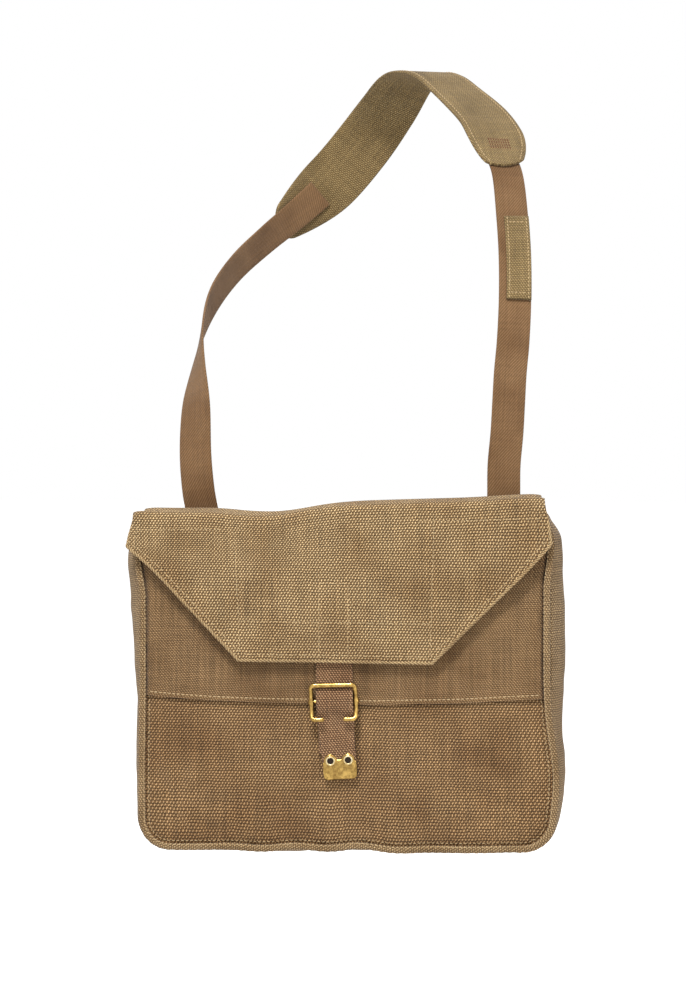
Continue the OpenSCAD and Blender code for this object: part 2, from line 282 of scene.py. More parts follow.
@dataclass(frozen=True)
class Stitch:
    """One stitch of heavy cotton thread, in millimetres."""

    length: float = 2.9
    width: float = 0.9
    pitch: float = 3.9

    def shape(self) -> tuple[np.ndarray, list[tuple[int, ...]]]:
        """Draws one stitch, along x with z up.

        Returns:
            Its points, and the point numbers of each face.
        """
        sides = 6
        rings = [(-0.5, 0.35, -0.5), (-0.3, 0.5, 0.12), (0.3, 0.5, 0.12), (0.5, 0.35, -0.5)]
        turn = np.linspace(0, math.tau, sides, endpoint=False)
        points = np.concatenate([
            np.stack([
                np.full(sides, along * self.length),
                np.cos(turn) * thick * self.width,
                np.sin(turn) * thick * self.width * 0.8 + lift * self.width,
            ], 1)
            for along, thick, lift in rings
        ])
        faces = [tuple(f[::-1]) for f in grid_faces(len(rings), sides, wrap=True)]
        last = (len(rings) - 1) * sides
        return points, [*faces, tuple(range(sides)), tuple(range(last, last + sides))[::-1]]


PANEL_STITCH = Stitch()
RIDGE_STITCH = Stitch(2.6, 0.75, 3.6)
FLAP_STITCH = Stitch(2.6, 0.7, 3.9)
CHAPE_STITCH = Stitch(2.4, 0.7, 3.4)
PAD_STITCH = Stitch(2.8, 0.8, 3.8)
TACK_STITCH = Stitch(3.2, 1.0, 3.5)
END_STITCH = Stitch(2.6, 0.75, 3.4)


class Mesher:
    """Collects points, faces and cloth coordinates, and makes one piece of them."""

    def __init__(self) -> None:
        """Starts with nothing drawn."""
        low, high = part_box("gusset")
        self.origin = np.array([(low.x + high.x) / 2, (low.y + high.y) / 2, low.z])
        self.points: list[np.ndarray] = []
        self.cloth: list[np.ndarray] = []
        self.faces: list[tuple[int, ...]] = []
        self.slots: list[int] = []
        self.count = 0

    def add(self, points: np.ndarray, faces: Sequence, cloth: np.ndarray, slot: int = 0) -> None:
        """Adds points and the faces between them.

        Args:
            points: The points, in millimetres in the bag's frame.
            faces: Point numbers of each face, anticlockwise from outside.
            cloth: Where each point lies on the cloth, across and along.
            slot: The number of the faces' material.
        """
        self.points.append(np.asarray(points, float).reshape(-1, 3))
        self.cloth.append(np.asarray(cloth, float).reshape(-1, 2))
        self.faces.extend(tuple(int(k) + self.count for k in face) for face in faces)
        self.slots.extend([slot] * len(faces))
        self.count += len(self.points[-1])

    def add_sheet(
        self, outer: np.ndarray, cloth: np.ndarray, thick: float, flip: bool = False, slot: int = 0,
    ) -> None:
        """Adds a sheet of cloth with both faces and its edges.

        Args:
            outer: A grid of points on its outer face.
            cloth: Where each of them lies on the cloth.
            thick: The sheet's thickness.
            flip: Whether the outer face looks the other way.
            slot: The number of its material.
        """
        if flip:
            outer, cloth = outer[:, ::-1], cloth[:, ::-1]
        rows, cols = outer.shape[:2]
        total = rows * cols
        normal = unit(np.cross(np.gradient(outer, axis=1), np.gradient(outer, axis=0)))
        faces = grid_faces(rows, cols)
        number = np.arange(total).reshape(rows, cols)
        loop = np.concatenate([number[0, :-1], number[:-1, -1], number[-1, :0:-1], number[:0:-1, 0]])
        after = np.roll(loop, -1)
        rim = np.stack([after, loop, loop + total, after + total], 1)
        points = np.concatenate([outer.reshape(-1, 3), (outer - normal * thick).reshape(-1, 3)])
        both = np.concatenate([cloth.reshape(-1, 2)] * 2)
        self.add(points, [*faces, *(faces[:, ::-1] + total), *rim], both, slot)

    def add_sweep(self, path: np.ndarray, up: np.ndarray, section: np.ndarray, slot: int = 0) -> None:
        """Adds a section swept along a path.

        Args:
            path: The path's points.
            up: Which way is up at each of them.
            section: One section for all, or one for each point, as sideways and upwards.
            slot: The number of its material.
        """
        along = unit(np.gradient(path, axis=0))
        up = unit(up - along * np.sum(up * along, 1, keepdims=True))
        side = np.cross(up, along)
        every = np.broadcast_to(section, (len(path), *section.shape[-2:]))
        rings = path[:, None] + side[:, None] * every[..., :1] + up[:, None] * every[..., 1:]
        rows, cols = rings.shape[:2]
        run = distances(path)
        cloth = np.stack([every[..., 0], np.broadcast_to(run[:, None], (rows, cols))], -1)
        caps = [tuple(range(cols))[::-1], tuple(range((rows - 1) * cols, rows * cols))]
        self.add(rings, [*grid_faces(rows, cols, wrap=True), *caps], cloth, slot)

    def add_stitches(self, line: np.ndarray, normal: np.ndarray, stitch: Stitch, slot: int = 1) -> None:
        """Adds a row of stitches along a line on a surface.

        Args:
            line: The line's points.
            normal: The surface's direction at each of them.
            stitch: The kind of stitch.
            slot: The number of the thread's material.
        """
        run = distances(line)
        at = np.arange(stitch.pitch * 0.6, run[-1] - stitch.pitch * 0.4, stitch.pitch)
        reads = [
            np.stack([np.interp(at + shift, run, line[:, k]) for k in range(3)], 1) for shift in (-1, 0, 1)
        ]
        along = unit(reads[2] - reads[0])
        up = unit(np.stack([np.interp(at, run, normal[:, k]) for k in range(3)], 1))
        side = unit(np.cross(up, along))
        shape, faces = stitch.shape()
        # No two stitches lie quite alike
        for k, middle in enumerate(reads[1]):
            tilt = 0.16 * math.sin(k * 2.4)
            turned = along[k] * math.cos(tilt) + side[k] * math.sin(tilt)
            across = side[k] * math.cos(tilt) - along[k] * math.sin(tilt)
            self.add(middle + shape @ np.stack([turned, across, up[k]]), faces, shape[:, :2], slot)

    def add_row_on(
        self, surface: Surface, a: np.ndarray, b: np.ndarray, stitch: Stitch, outward: float = 1.0,
    ) -> None:
        """Adds a row of stitches on a surface.

        Args:
            surface: The surface.
            a: First coordinate of each point of the row.
            b: Second coordinate of each point of the row.
            stitch: The kind of stitch.
            outward: 1 if the surface's own direction looks out, or -1.
        """
        a, b = np.broadcast_arrays(np.asarray(a, float), np.asarray(b, float))
        line = surface(a, b)
        near = 0.5
        normal = np.cross(
            surface(a + near, b) - surface(a - near, b), surface(a, b + near) - surface(a, b - near),
        )
        self.add_stitches(line, unit(normal) * outward, stitch)

    def build(
        self, name: str, materials: Sequence[bpy.types.Material], slot: Slot, *nodes: str,
    ) -> bpy.types.Object:
        """Makes the object.

        Args:
            name: The piece's name.
            materials: Its materials, in the order of their numbers.
            slot: The record's slot for its finish; not used.
            nodes: The nodes that it stands for.

        Returns:
            The new piece, which doesn't ride on anything yet.
        """
        mesh = bpy.data.meshes.new(name)
        points = np.concatenate(self.points) * MM + self.origin
        mesh.from_pydata(points.tolist(), [], self.faces)
        for material in materials:
            mesh.materials.append(material)
        mesh.polygons.foreach_set("material_index", np.array(self.slots, np.int32))
        mesh.polygons.foreach_set("use_smooth", np.ones(len(mesh.polygons), bool))
        corner = np.zeros(len(mesh.loops), np.int32)
        mesh.loops.foreach_get("vertex_index", corner)
        cloth = np.concatenate(self.cloth)[corner] * MM
        mesh.uv_layers.new(name=CLOTH_MAP).data.foreach_set("uv", cloth.astype(np.float32).ravel())
        mesh.update()
        piece = bpy.data.objects.new(name, mesh)
        bpy.context.scene.collection.objects.link(piece)
        if nodes:
            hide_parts(*nodes)
        log.info("%s: %d points, %d faces", name, self.count, len(self.faces))
        return piece

    def at(self, x: float, y: float, z: float) -> tuple[float, float, float]:
        """A point of the bag's frame in the model's frame, in metres."""
        return tuple(np.array([x, y, z]) * MM + self.origin)


# ---- Finishes ----


class Shader:
    """The nodes of one material or of the world."""

    def __init__(self, owner: bpy.types.Material | bpy.types.World) -> None:
        """Starts with no nodes.

        Args:
            owner: The material or the world that they belong to.
        """
        owner.use_nodes = True
        self.owner = owner
        self.tree = owner.node_tree
        self.tree.nodes.clear()

    def node(self, kind: str, links: dict | None = None, **settings) -> bpy.types.Node:
        """Adds a node.

        Args:
            kind: The node's type.
            links: A socket of another node, or a plain value, for each input.
            settings: The node's own settings.

        Returns:
            The new node.
        """
        made = self.tree.nodes.new(kind)
        for key, value in settings.items():
            setattr(made, key, value)
        for key, value in (links or {}).items():
            if isinstance(value, bpy.types.NodeSocket):
                self.tree.links.new(value, made.inputs[key])
            else:
                made.inputs[key].default_value = value
        return made


@dataclass(frozen=True)
class WovenCotton:
    """Heavy cotton woven from thick, uneven yarn, whose soft dots of light are painted highlight on the warp
    floats, with painted shade in the gaps between the yarns.

    Sizes are in millimetres, and each noise's scale is in humps to the millimetre. The
    pitches are half of the distance after which the weave repeats, across and along the
    cloth.
    """

    name: str
    # warp is a painted highlight on the warp floats, and gap is a painted shade between the yarns
    warp: str
    weft: str
    gap: str
    stain: str
    pitch_across: float
    pitch_along: float
    weave: Weave = Weave.BASKET
    slant: float = -0.20
    uneven: float = 0.9
    relief: float = 0.6
    slub: float = 0.30
    stained: float = 0.5
    roughness: float = 0.93

    def build(self) -> bpy.types.Material:
        """Makes the material.

        Returns:
            The new material.
        """
        s = Shader(bpy.data.materials.new(self.name))
        cloth = s.node("ShaderNodeUVMap", uv_map=CLOTH_MAP).outputs[0]
        mm = s.node("ShaderNodeVectorMath", {0: cloth, "Scale": 1 / MM}, operation="SCALE").outputs[0]
        bend = s.node("ShaderNodeTexNoise", {"Vector": mm, "Scale": 0.12, "Detail": 2.0}).outputs["Color"]
        reach = (self.uneven * 2.0,) * 3
        bent = s.node(
            "ShaderNodeVectorMath", {0: bend, 1: reach, 2: mm}, operation="MULTIPLY_ADD",
        ).outputs[0]
        axes = s.node("ShaderNodeSeparateXYZ", {0: bent}).outputs
        # The yarn's twist slants each float
        rounds = s.node("ShaderNodeMath", {0: axes[1], 1: math.tau / self.pitch_along}, operation="MULTIPLY")
        swing = s.node("ShaderNodeMath", {0: rounds.outputs[0]}, operation="SINE").outputs[0]
        across = s.node(
            "ShaderNodeMath", {0: swing, 1: self.slant, 2: axes[0]}, operation="MULTIPLY_ADD",
        ).outputs[0]
        turns = []
        for distance, pitch in ((across, self.pitch_across), (axes[1], self.pitch_along)):
            phase = s.node("ShaderNodeMath", {0: distance, 1: math.pi / pitch}, operation="MULTIPLY")
            turns.append(phase.outputs[0])
        if self.weave is Weave.TWILL:
            rise = s.node("ShaderNodeMath", {0: turns[0], 1: turns[1]}, operation="ADD").outputs[0]
            lobe = s.node("ShaderNodeMath", {0: rise}, operation="COSINE").outputs[0]
        else:
            waves = [s.node("ShaderNodeMath", {0: turn}, operation="COSINE") for turn in turns]
            lobe = s.node(
                "ShaderNodeMath", {0: waves[0].outputs[0], 1: waves[1].outputs[0]}, operation="MULTIPLY",
            ).outputs[0]
        # Yarn that is thicker in places shows as long pale and dark threads
        threads = []
        for stretch in ((0.62, 0.016, 1.0), (0.02, 0.36, 1.0)):
            drawn = s.node("ShaderNodeVectorMath", {0: mm, 1: stretch}, operation="MULTIPLY").outputs[0]
            thread = s.node("ShaderNodeTexNoise", {"Vector": drawn, "Scale": 1.0, "Detail": 3.0})
            threads.append(thread.outputs[0])
        warp = s.node("ShaderNodeMath", {0: threads[0], 1: 0.65}, operation="MULTIPLY").outputs[0]
        slubs = s.node(
            "ShaderNodeMath", {0: threads[1], 1: 0.35, 2: warp}, operation="MULTIPLY_ADD",
        ).outputs[0]
        fibre = s.node(
            "ShaderNodeTexNoise", {"Vector": mm, "Scale": 0.55, "Detail": 4.0, "Roughness": 0.7},
        ).outputs[0]
        shade = s.node("ShaderNodeMath", {0: fibre, 1: 0.5, 2: slubs}, operation="MULTIPLY_ADD").outputs[0]
        light = s.node("ShaderNodeMapRange", {
            0: shade, 1: 0.55, 2: 0.95, 3: 1 - self.slub, 4: 1 + self.slub,
        }).outputs[0]
        # Painted highlight: the warp floats take the paler warp colour
        share = s.node("ShaderNodeMapRange", {0: lobe, 1: -0.5, 2: 0.6}).outputs[0]
        yarn = s.node("ShaderNodeMix", {
            0: share, 6: linear(self.weft), 7: linear(self.warp),
        }, data_type="RGBA").outputs[2]
        # Painted shade: the gap colour darkens the crevices between the yarns
        size = s.node("ShaderNodeMath", {0: lobe}, operation="ABSOLUTE").outputs[0]
        full = s.node(
            "ShaderNodeMapRange", {0: size, 1: 0.04, 2: 0.5}, interpolation_type="SMOOTHSTEP",
        ).outputs[0]
        woven = s.node("ShaderNodeMix", {0: full, 6: linear(self.gap), 7: yarn}, data_type="RGBA").outputs[2]
        patch = s.node("ShaderNodeTexNoise", {"Vector": mm, "Scale": 0.018, "Detail": 3.0}).outputs[0]
        worn = s.node("ShaderNodeMapRange", {0: patch, 1: 0.42, 2: 0.66, 3: 0.0, 4: self.stained}).outputs[0]
        dyed = s.node("ShaderNodeMix", {
            0: worn, 6: woven, 7: linear(self.stain),
        }, data_type="RGBA", blend_type="MULTIPLY").outputs[2]
        lit = s.node("ShaderNodeVectorMath", {0: dyed, "Scale": light}, operation="SCALE").outputs[0]
        raised = s.node("ShaderNodeMath", {0: full, 1: 0.7}, operation="MULTIPLY").outputs[0]
        height = s.node("ShaderNodeMath", {0: shade, 1: 0.8, 2: raised}, operation="MULTIPLY_ADD").outputs[0]
        bump = s.node("ShaderNodeBump", {"Height": height, "Distance": self.relief * MM, "Strength": 1.0})
        cotton = s.node("ShaderNodeBsdfPrincipled", {
            "Base Color": lit, "Roughness": self.roughness, "Normal": bump.outputs[0],
            "Sheen Weight": 0.12, "Sheen Roughness": 0.5, "Specular IOR Level": 0.25,
        })
        s.node("ShaderNodeOutputMaterial", {0: cotton.outputs[0]})
        return s.owner


@dataclass(frozen=True)
class CottonThread:
    """Twisted linen thread, drawn through wax, which leaves it a little smoother."""

    name: str
    colour: str
    dark: str

    def build(self) -> bpy.types.Material:
        """Makes the material.

        Returns:
            The new material.
        """
        s = Shader(bpy.data.materials.new(self.name))
        place = s.node("ShaderNodeTexCoord").outputs["Object"]
        twist = s.node("ShaderNodeTexNoise", {"Vector": place, "Scale": 220.0, "Detail": 2.0}).outputs[0]
        colour = s.node("ShaderNodeMix", {
            0: twist, 6: linear(self.dark), 7: linear(self.colour),
        }, data_type="RGBA").outputs[2]
        bump = s.node("ShaderNodeBump", {"Height": twist, "Distance": 0.2 * MM, "Strength": 0.6})
        thread = s.node("ShaderNodeBsdfPrincipled", {
            "Base Color": colour, "Roughness": 0.8, "Normal": bump.outputs[0], "Specular IOR Level": 0.3,
        })
        s.node("ShaderNodeOutputMaterial", {0: thread.outputs[0]})
        return s.owner


@dataclass(frozen=True)
class StampedBrass:
    """Brass sheet and wire, stamped and bent, bright where it is rubbed and brown elsewhere.

    Its worn patches are about 6 mm across and its dents about 2.4 mm, so their noises
    have 170 and 420 humps to the metre.
    """

    name: str
    bright: str = "#d3ae63"
    dull: str = "#7a5c30"
    smooth: float = 0.24
    rough: float = 0.5

    def build(self) -> bpy.types.Material:
        """Makes the material.

        Returns:
            The new material.
        """
        s = Shader(bpy.data.materials.new(self.name))
        place = s.node("ShaderNodeTexCoord").outputs["Object"]
        wear = s.node("ShaderNodeTexNoise", {
            "Vector": place, "Scale": 170.0, "Detail": 5.0, "Roughness": 0.65,
        })
        tarnish = s.node("ShaderNodeMapRange", {0: wear.outputs[0], 1: 0.40, 2: 0.68}).outputs[0]
        colour = s.node("ShaderNodeMix", {
            0: tarnish, 6: linear(self.bright), 7: linear(self.dull),
        }, data_type="RGBA").outputs[2]
        gloss = s.node("ShaderNodeMapRange", {0: tarnish, 3: self.smooth, 4: self.rough}).outputs[0]
        dents = s.node("ShaderNodeTexNoise", {"Vector": place, "Scale": 420.0, "Detail": 3.0}).outputs[0]
        bump = s.node("ShaderNodeBump", {"Height": dents, "Distance": 0.12 * MM, "Strength": 0.5})
        brass = s.node("ShaderNodeBsdfPrincipled", {
            "Base Color": colour, "Metallic": 1.0, "Roughness": gloss, "Normal": bump.outputs[0],
        })
        s.node("ShaderNodeOutputMaterial", {0: brass.outputs[0]})
        return s.owner


class Finishes:
    """Every material of the bag, made once."""

    def __init__(self) -> None:
        """Makes the materials."""
        # Loom-state cotton webbing cloth, dyed khaki, coarse enough to count its yarns
        self.body = WovenCotton(
            "khaki_cotton_webbing_woven", "#cba473", "#83613c", "#382412", "#b39e82", 1.36, 2.25,
        ).build()
        # The same cloth, faded where it lies uppermost
        self.flap = WovenCotton(
            "khaki_cotton_webbing_faded", "#e6c794", "#8f6d45", "#3c2813", "#bda88a", 1.36, 2.25,
        ).build()
        # The same cloth rolled into a hem, which rubs pale along its ridge
        self.hem = WovenCotton(
            "khaki_cotton_hem_rolled", "#d9bc8c", "#94744b", "#5a4126", "#c4b295", 0.9, 1.65,
            weave=Weave.TWILL, slant=0.0, uneven=0.3,
        ).build()
        # Finer and flatter webbing of the band, with less shadow between its yarns
        self.band = WovenCotton(
            "khaki_cotton_band_fine", "#bb986c", "#84633e", "#4a331d", "#b5a386", 1.1, 1.55, slant=0.25,
        ).build()
        # Gusset webbing, greyed by rubbing on what it hangs against
        self.side = WovenCotton(
            "khaki_cotton_webbing_rubbed", "#d0b184", "#93744d", "#513c26", "#bcab8c", 1.15, 1.9,
        ).build()
        # Narrow-loom webbing of finer yarn with a pink cast
        self.closure = WovenCotton(
            "cotton_strap_webbing_closure", "#cfa67a", "#855e40", "#3c2413", "#b39a84", 1.2, 1.85,
            uneven=0.5,
        ).build()
        # Twill-woven strap webbing, dense and smooth
        self.strap = WovenCotton(
            "cotton_strap_webbing_twill", "#947150", "#785a38", "#5c432a", "#b5a288", 1.2, 1.6,
            weave=Weave.TWILL, slant=0.0, uneven=0.35, relief=0.35, slub=0.18,
        ).build()
        # Greener webbing of the doubled end and the pad
        self.pad = WovenCotton(
            "cotton_pad_webbing", "#b29a69", "#8b7146", "#5c472a", "#b0a78a", 1.2, 1.7, uneven=0.5,
        ).build()
        # Pale linen sewing thread
        self.thread = CottonThread("linen_thread_pale", "#dcc399", "#a98a5e").build()
        # Red-brown linen thread of the bar tacks
        self.tack = CottonThread("linen_thread_red_brown", "#7a4b38", "#5a3528").build()
        # Painted shadow: dark cotton for a disc in each of the strap's two holes, which stands for the shade
        # seen through them
        self.hole_shadow = CottonThread("painted_hole_shadow", "#2e2117", "#1c140d").build()
        self.brass = StampedBrass("brass_stamped_worn").build()
        # Rolled lip of an eyelet, which every passing hand polishes
        self.lip = StampedBrass("brass_eyelet_polished", "#efdfb4", "#c9ad72", 0.3, 0.4).build()


# ---- The bag ----


@dataclass(frozen=True)
class BagShape:
    """The shape that the filled and worn bag has settled to, in millimetres."""

    half_w: float = 168.0
    half_d: float = 30.0
    bottom: float = 10.0
    mouth: float = 297.0
    corner_left: float = 22.0
    corner_right: float = 23.0
    closure_x: float = -9.0
    band_z: float = 130.0
    cloth: float = 2.4

    def slump(self, x: np.ndarray) -> np.ndarray:
        """How far the top of the bag lies above or below its cut height."""
        return through(x, [
            (-200, -8.5), (-150, -9.5), (-115, -9), (-80, -12.5), (-52, -11.5), (-28, -6), (4, -2.6),
            (60, -0.6), (100, 0.6), (143, 3.6), (200, 5.6),
        ])

    def settle(self, points: np.ndarray) -> np.ndarray:
        """Moves points of the cut shape to where the worn cloth has them.

        Args:
            points: Points of the cut shape.

        Returns:
            Where they lie on the worn bag.
        """
        x, y, z = points[..., 0], points[..., 1], points[..., 2]
        edge = np.clip(np.abs(x) / self.half_w, 0, 1.2) ** 4
        flare = ease(z, 222, 258)
        shut = ease(z, 262, self.mouth)
        right = 3.4 + 8.6 * np.exp(-(((z - 64) / 46) ** 2)) + 3.4 * flare - 15 * shut
        left = 6.2 + 1.2 * np.exp(-(((z - 60) / 55) ** 2)) + 4.2 * flare - 13 * shut
        new_x = x + np.where(x > 0, right, -left) * edge
        new_z = z + self.slump(x) * ease(z, 120, self.mouth) - 6.4 * ease(z, 62, self.bottom)
        new_z = new_z + (1.1 * wander(x, y, 150, 5) + 0.8 * wander(x, y, 44, 6)) * ease(z, 60, self.bottom)
        return np.stack([new_x, y, new_z], -1)

    def edge_x(self, z: np.ndarray, side: int) -> np.ndarray:
        """How far across the seam lies at a height.

        Args:
            z: The heights.
            side: -1 for the left seam and 1 for the right one.

        Returns:
            The seam's x at each height.
        """
        r = self.corner_right if side > 0 else self.corner_left
        drop = np.clip(r - (z - self.bottom), 0, r)
        return side * (self.half_w - r + np.sqrt(np.maximum(r * r - drop * drop, 0)))

    def rim(self, step: float = RIM_STEP) -> tuple[np.ndarray, np.ndarray]:
        """The seam line, from the left end of the mouth round the bottom to the right end.

        Args:
            step: About how far apart its points are.

        Returns:
            The points as x and z, and the direction outwards at each.
        """
        parts = [[(-self.half_w, self.mouth)]]
        for side, r, turn in ((-1, self.corner_left, (180, 270)), (1, self.corner_right, (270, 360))):
            angle = np.radians(np.linspace(*turn, 19))
            middle = (side * (self.half_w - r), self.bottom + r)
            parts.append(np.stack([middle[0] + r * np.cos(angle), middle[1] + r * np.sin(angle)], 1))
        parts.append([(self.half_w, self.mouth)])
        line = evenly(np.concatenate([np.array(part, float) for part in parts]), step)
        along = unit(np.gradient(line, axis=0))
        return line, np.stack([along[:, 1], -along[:, 0]], 1)

    def fullness(self, x: np.ndarray, z: np.ndarray, seed: int) -> np.ndarray:
        """How far a panel stands out of its flat cut.

        Args:
            x: Across the panel.
            z: Up the panel.
            seed: Chooses the panel's own creases.

        Returns:
            The distance outwards at each point.
        """
        across = np.clip(1 - (x / self.half_w) ** 4, 0, 1)
        up = np.clip((z - self.bottom) / (self.mouth - self.bottom), 0, 1)
        belly = 3.2 * across * np.sin(math.pi * up**0.7) * ease(z, 250, 90)
        calm = 1 - 0.75 * ease(z, 118, 140)
        pressed = 1 - 0.92 * np.exp(-(((x - self.closure_x) / 30) ** 4)) * ease(z, 30, 60)
        creases = 0.75 * wander(x, z, 70, seed) + 0.35 * wander(x, z, 28, seed + 1)
        corner = np.hypot(np.maximum(np.abs(x) - 143, 0), np.maximum(35 - z, 0))
        near = np.minimum(np.minimum(self.half_w - np.abs(x), z - self.bottom), 25 - corner)
        # Puckers fan out round each bottom corner
        pucker = 0
        for side in (-1, 1):
            dx, dz = x - side * 138, z - 40
            reach = np.exp(-(((np.hypot(dx, dz) - 34) / 24) ** 2)) * ease(z, 110, 60)
            pucker = pucker + 1.3 * np.sin(np.arctan2(dz, dx) * 9 + side + seed) * reach
        # The seam draws the cloth in along its stitches
        drawn = 0.55 * np.sin(x * 0.33 + z * 0.41) * np.exp(-near / 9)
        groove = 2.3 * np.exp(-(((near - 4.2) / 2.8) ** 2))
        return (belly + creases * calm + pucker) * pressed * ease(near, 2, 26) + drawn - groove


@dataclass
class BagBody:
    """The pocket of the haversack: two panels, the gusset between them, the ridged
    seams, the band across the front and the hems inside the mouth."""

    finishes: Finishes
    shape: BagShape = field(default_factory=BagShape)
    cell: float = 2.6
    ridge: float = 3.1
    ridge_step: float = 1.6
    band_t: float = 1.7
    hem_depth: float = 30.0
    hem_t: float = 1.8
    stitch_in: float = 6.2

    def _ride(self, piece: bpy.types.Object) -> bpy.types.Object:
        """Makes a piece move with the bag."""
        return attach(piece, Body.BAG.value)

    def panel(self, facing: int, seed: int) -> Surface:
        """The outer face of a panel.

        Args:
            facing: -1 for the front and 1 for the back.
            seed: Chooses its creases.

        Returns:
            The surface, by x and z of the cut cloth.
        """
        def face(x: np.ndarray, z: np.ndarray) -> np.ndarray:
            """Where the cloth lies that was cut at x and z."""
            out = self.shape.half_d + self.shape.fullness(x, z, seed)
            return self.shape.settle(np.stack([x, facing * out, z], -1))
        return face

    def heights(self, low: float, high: float) -> np.ndarray:
        """Rows of a panel, closer together round the bottom corners.

        Args:
            low: The lowest row.
            high: The highest row.

        Returns:
            The height of each row.
        """
        r = self.shape.corner_right
        turn = np.radians(np.linspace(0, 90, 16))
        near = self.shape.bottom + r * (1 - np.cos(turn))
        far = np.linspace(self.shape.bottom + r, self.shape.mouth, 80)
        rows = np.concatenate([near, far[1:]])
        return np.unique(np.clip(rows, low, high).round(4))

    def add_panel(self, mesher: Mesher, facing: int, seed: int) -> None:
        """Draws a panel with the stitches along its seam.

        Args:
            mesher: What it is drawn in.
            facing: -1 for the front and 1 for the back.
            seed: Chooses its creases.
        """
        surface = self.panel(facing, seed)
        z = self.heights(self.shape.bottom, self.shape.mouth)[:, None]
        # The columns lie closer together near the side seams
        even = np.linspace(0, 1, round(2 * self.shape.half_w / self.cell))[None]
        share = even - 0.085 * np.sin(even * math.tau)
        x = self.shape.edge_x(z, -1) * (1 - share) + self.shape.edge_x(z, 1) * share
        z = np.broadcast_to(z, x.shape)
        mesher.add_sheet(surface(x, z), np.stack([x, z], -1), self.shape.cloth, flip=facing > 0)
        line, out = self.shape.rim()
        row = line - out * self.stitch_in
        mesher.add_row_on(surface, row[:, 0], row[:, 1], PANEL_STITCH, outward=-float(facing))

    def panels(self) -> None:
        """Makes the front and back panels."""
        cloth = [self.finishes.body, self.finishes.thread]
        for name, facing, seed, node in (
            ("front_panel_cloth", -1, 11, "front_panel"), ("back_panel_cloth", 1, 23, "back_panel"),
        ):
            mesher = Mesher()
            self.add_panel(mesher, facing, seed)
            self._ride(mesher.build(name, cloth, Slot.BODY, node))

    def swell(self, line: np.ndarray, out: np.ndarray) -> np.ndarray:
        """How far the middle of the gusset stands out at each point of the seam line.

        Args:
            line: The seam line's points, as x and z.
            out: The direction outwards at each of them.

        Returns:
            The distance at each point.
        """
        z = line[:, 1]
        left = through(z, [
            (0, 5), (60, 6), (130, 6.6), (165, 8.8), (215, 11.4), (248, 9.6), (282, 7), (297, 5),
        ], 8)
        right = through(z, [
            (0, 3), (60, 3), (100, 5), (135, 9.5), (165, 12.5), (215, 11), (250, 6), (282, 3), (297, 2),
        ], 8)
        side = np.where(line[:, 0] > 0, right, left)
        return side * out[:, 0] ** 2 + 4.4 * out[:, 1] ** 2

    def gusset_grid(self, inside: float, reach: float) -> tuple[np.ndarray, np.ndarray]:
        """Points over the gusset.

        Args:
            inside: How far inside its outer face.
            reach: How far to each side of its middle line.

        Returns:
            The points, and where they lie on the cloth.
        """
        line, out = self.shape.rim()
        run = np.arange(len(line)) * RIM_STEP
        share = np.linspace(-1, 1, 25)
        depth = share * reach
        arch = 1 - np.abs(depth / self.shape.half_d) ** 2.2
        at = run[:, None], depth[None]
        creases = 0.55 * wander(*at, 70, 41) + 0.22 * wander(*at, 24, 43)
        rise = self.swell(line, out)[:, None] * arch[None] + creases * arch[None] - inside
        x = line[:, 0, None] + out[:, 0, None] * rise
        z = line[:, 1, None] + out[:, 1, None] * rise * (line[:, 1, None] < self.shape.mouth - 1)
        y = np.broadcast_to(depth[None], x.shape)
        cloth = np.stack([y, np.broadcast_to(run[:, None], x.shape)], -1)
        return self.shape.settle(np.stack([x, y, z], -1)), cloth

    def gusset(self) -> None:
        """Makes the gusset and the hem at its two ends."""
        mesher = Mesher()
        points, cloth = self.gusset_grid(0, self.shape.half_d - 1.2)
        mesher.add_sheet(points, cloth, self.shape.cloth)
        for end in (slice(0, 3), slice(-3, None)):
            ring = points[end][1] + [0, 0, 0.4]
            mesher.add_sweep(ring, np.broadcast_to([0.0, 0.0, 1.0], ring.shape), round_section(1.7))
        self._ride(mesher.build("gusset_cloth", [self.finishes.side], Slot.BODY, "gusset"))
        mesher = Mesher()
        points, cloth = self.gusset_grid(self.shape.cloth + 0.2, self.shape.half_d - 5.5)
        rows = round(self.hem_depth / RIM_STEP)
        for part in (slice(1, rows), slice(-rows, -1)):
            mesher.add_sheet(points[part], cloth[part], self.hem_t)
        self._ride(mesher.build("gusset_hem_cloth", [self.finishes.body], Slot.BODY, "gusset_hem"))

    def seams(self) -> None:
        """Makes the raised ridge where each panel meets the gusset."""
        line, out = self.shape.rim(self.ridge_step)
        run = np.arange(len(line)) * self.ridge_step
        # The cloth is gathered a little by each stitch
        gather = 1 + 0.055 * np.sin(run * math.tau / 6.6) + 0.06 * wander(run, run * 0, 60, 3)
        flat = line - out * 1.4
        cloth = [self.finishes.side, self.finishes.thread]
        for name, facing, node in (
            ("front_seam_ridge", -1, "front_seam"), ("back_seam_ridge", 1, "back_seam"),
        ):
            mesher = Mesher()
            depth = facing * (self.shape.half_d + 0.1 + 0.35 * wander(run, run * 0, 40, 9 + facing))
            path = self.shape.settle(np.stack([flat[:, 0], depth, flat[:, 1]], -1))
            up = np.broadcast_to([0.0, float(facing), 0.0], path.shape)
            section = round_section(self.ridge, 12)[None] * gather[:, None, None] * [1.0, 0.92]
            mesher.add_sweep(path, up, section)
            side = np.stack([-out[:, 0] * 2.2, np.full(len(out), facing * 2.5), -out[:, 1] * 2.2], 1)
            mesher.add_stitches(path + side, side, RIDGE_STITCH)
            self._ride(mesher.build(name, cloth, Slot.BODY, node))

    def band(self) -> None:
        """Makes the band that doubles the upper part of the front."""
        panel = self.panel(-1, 11)
        half = self.shape.half_w - 4.2

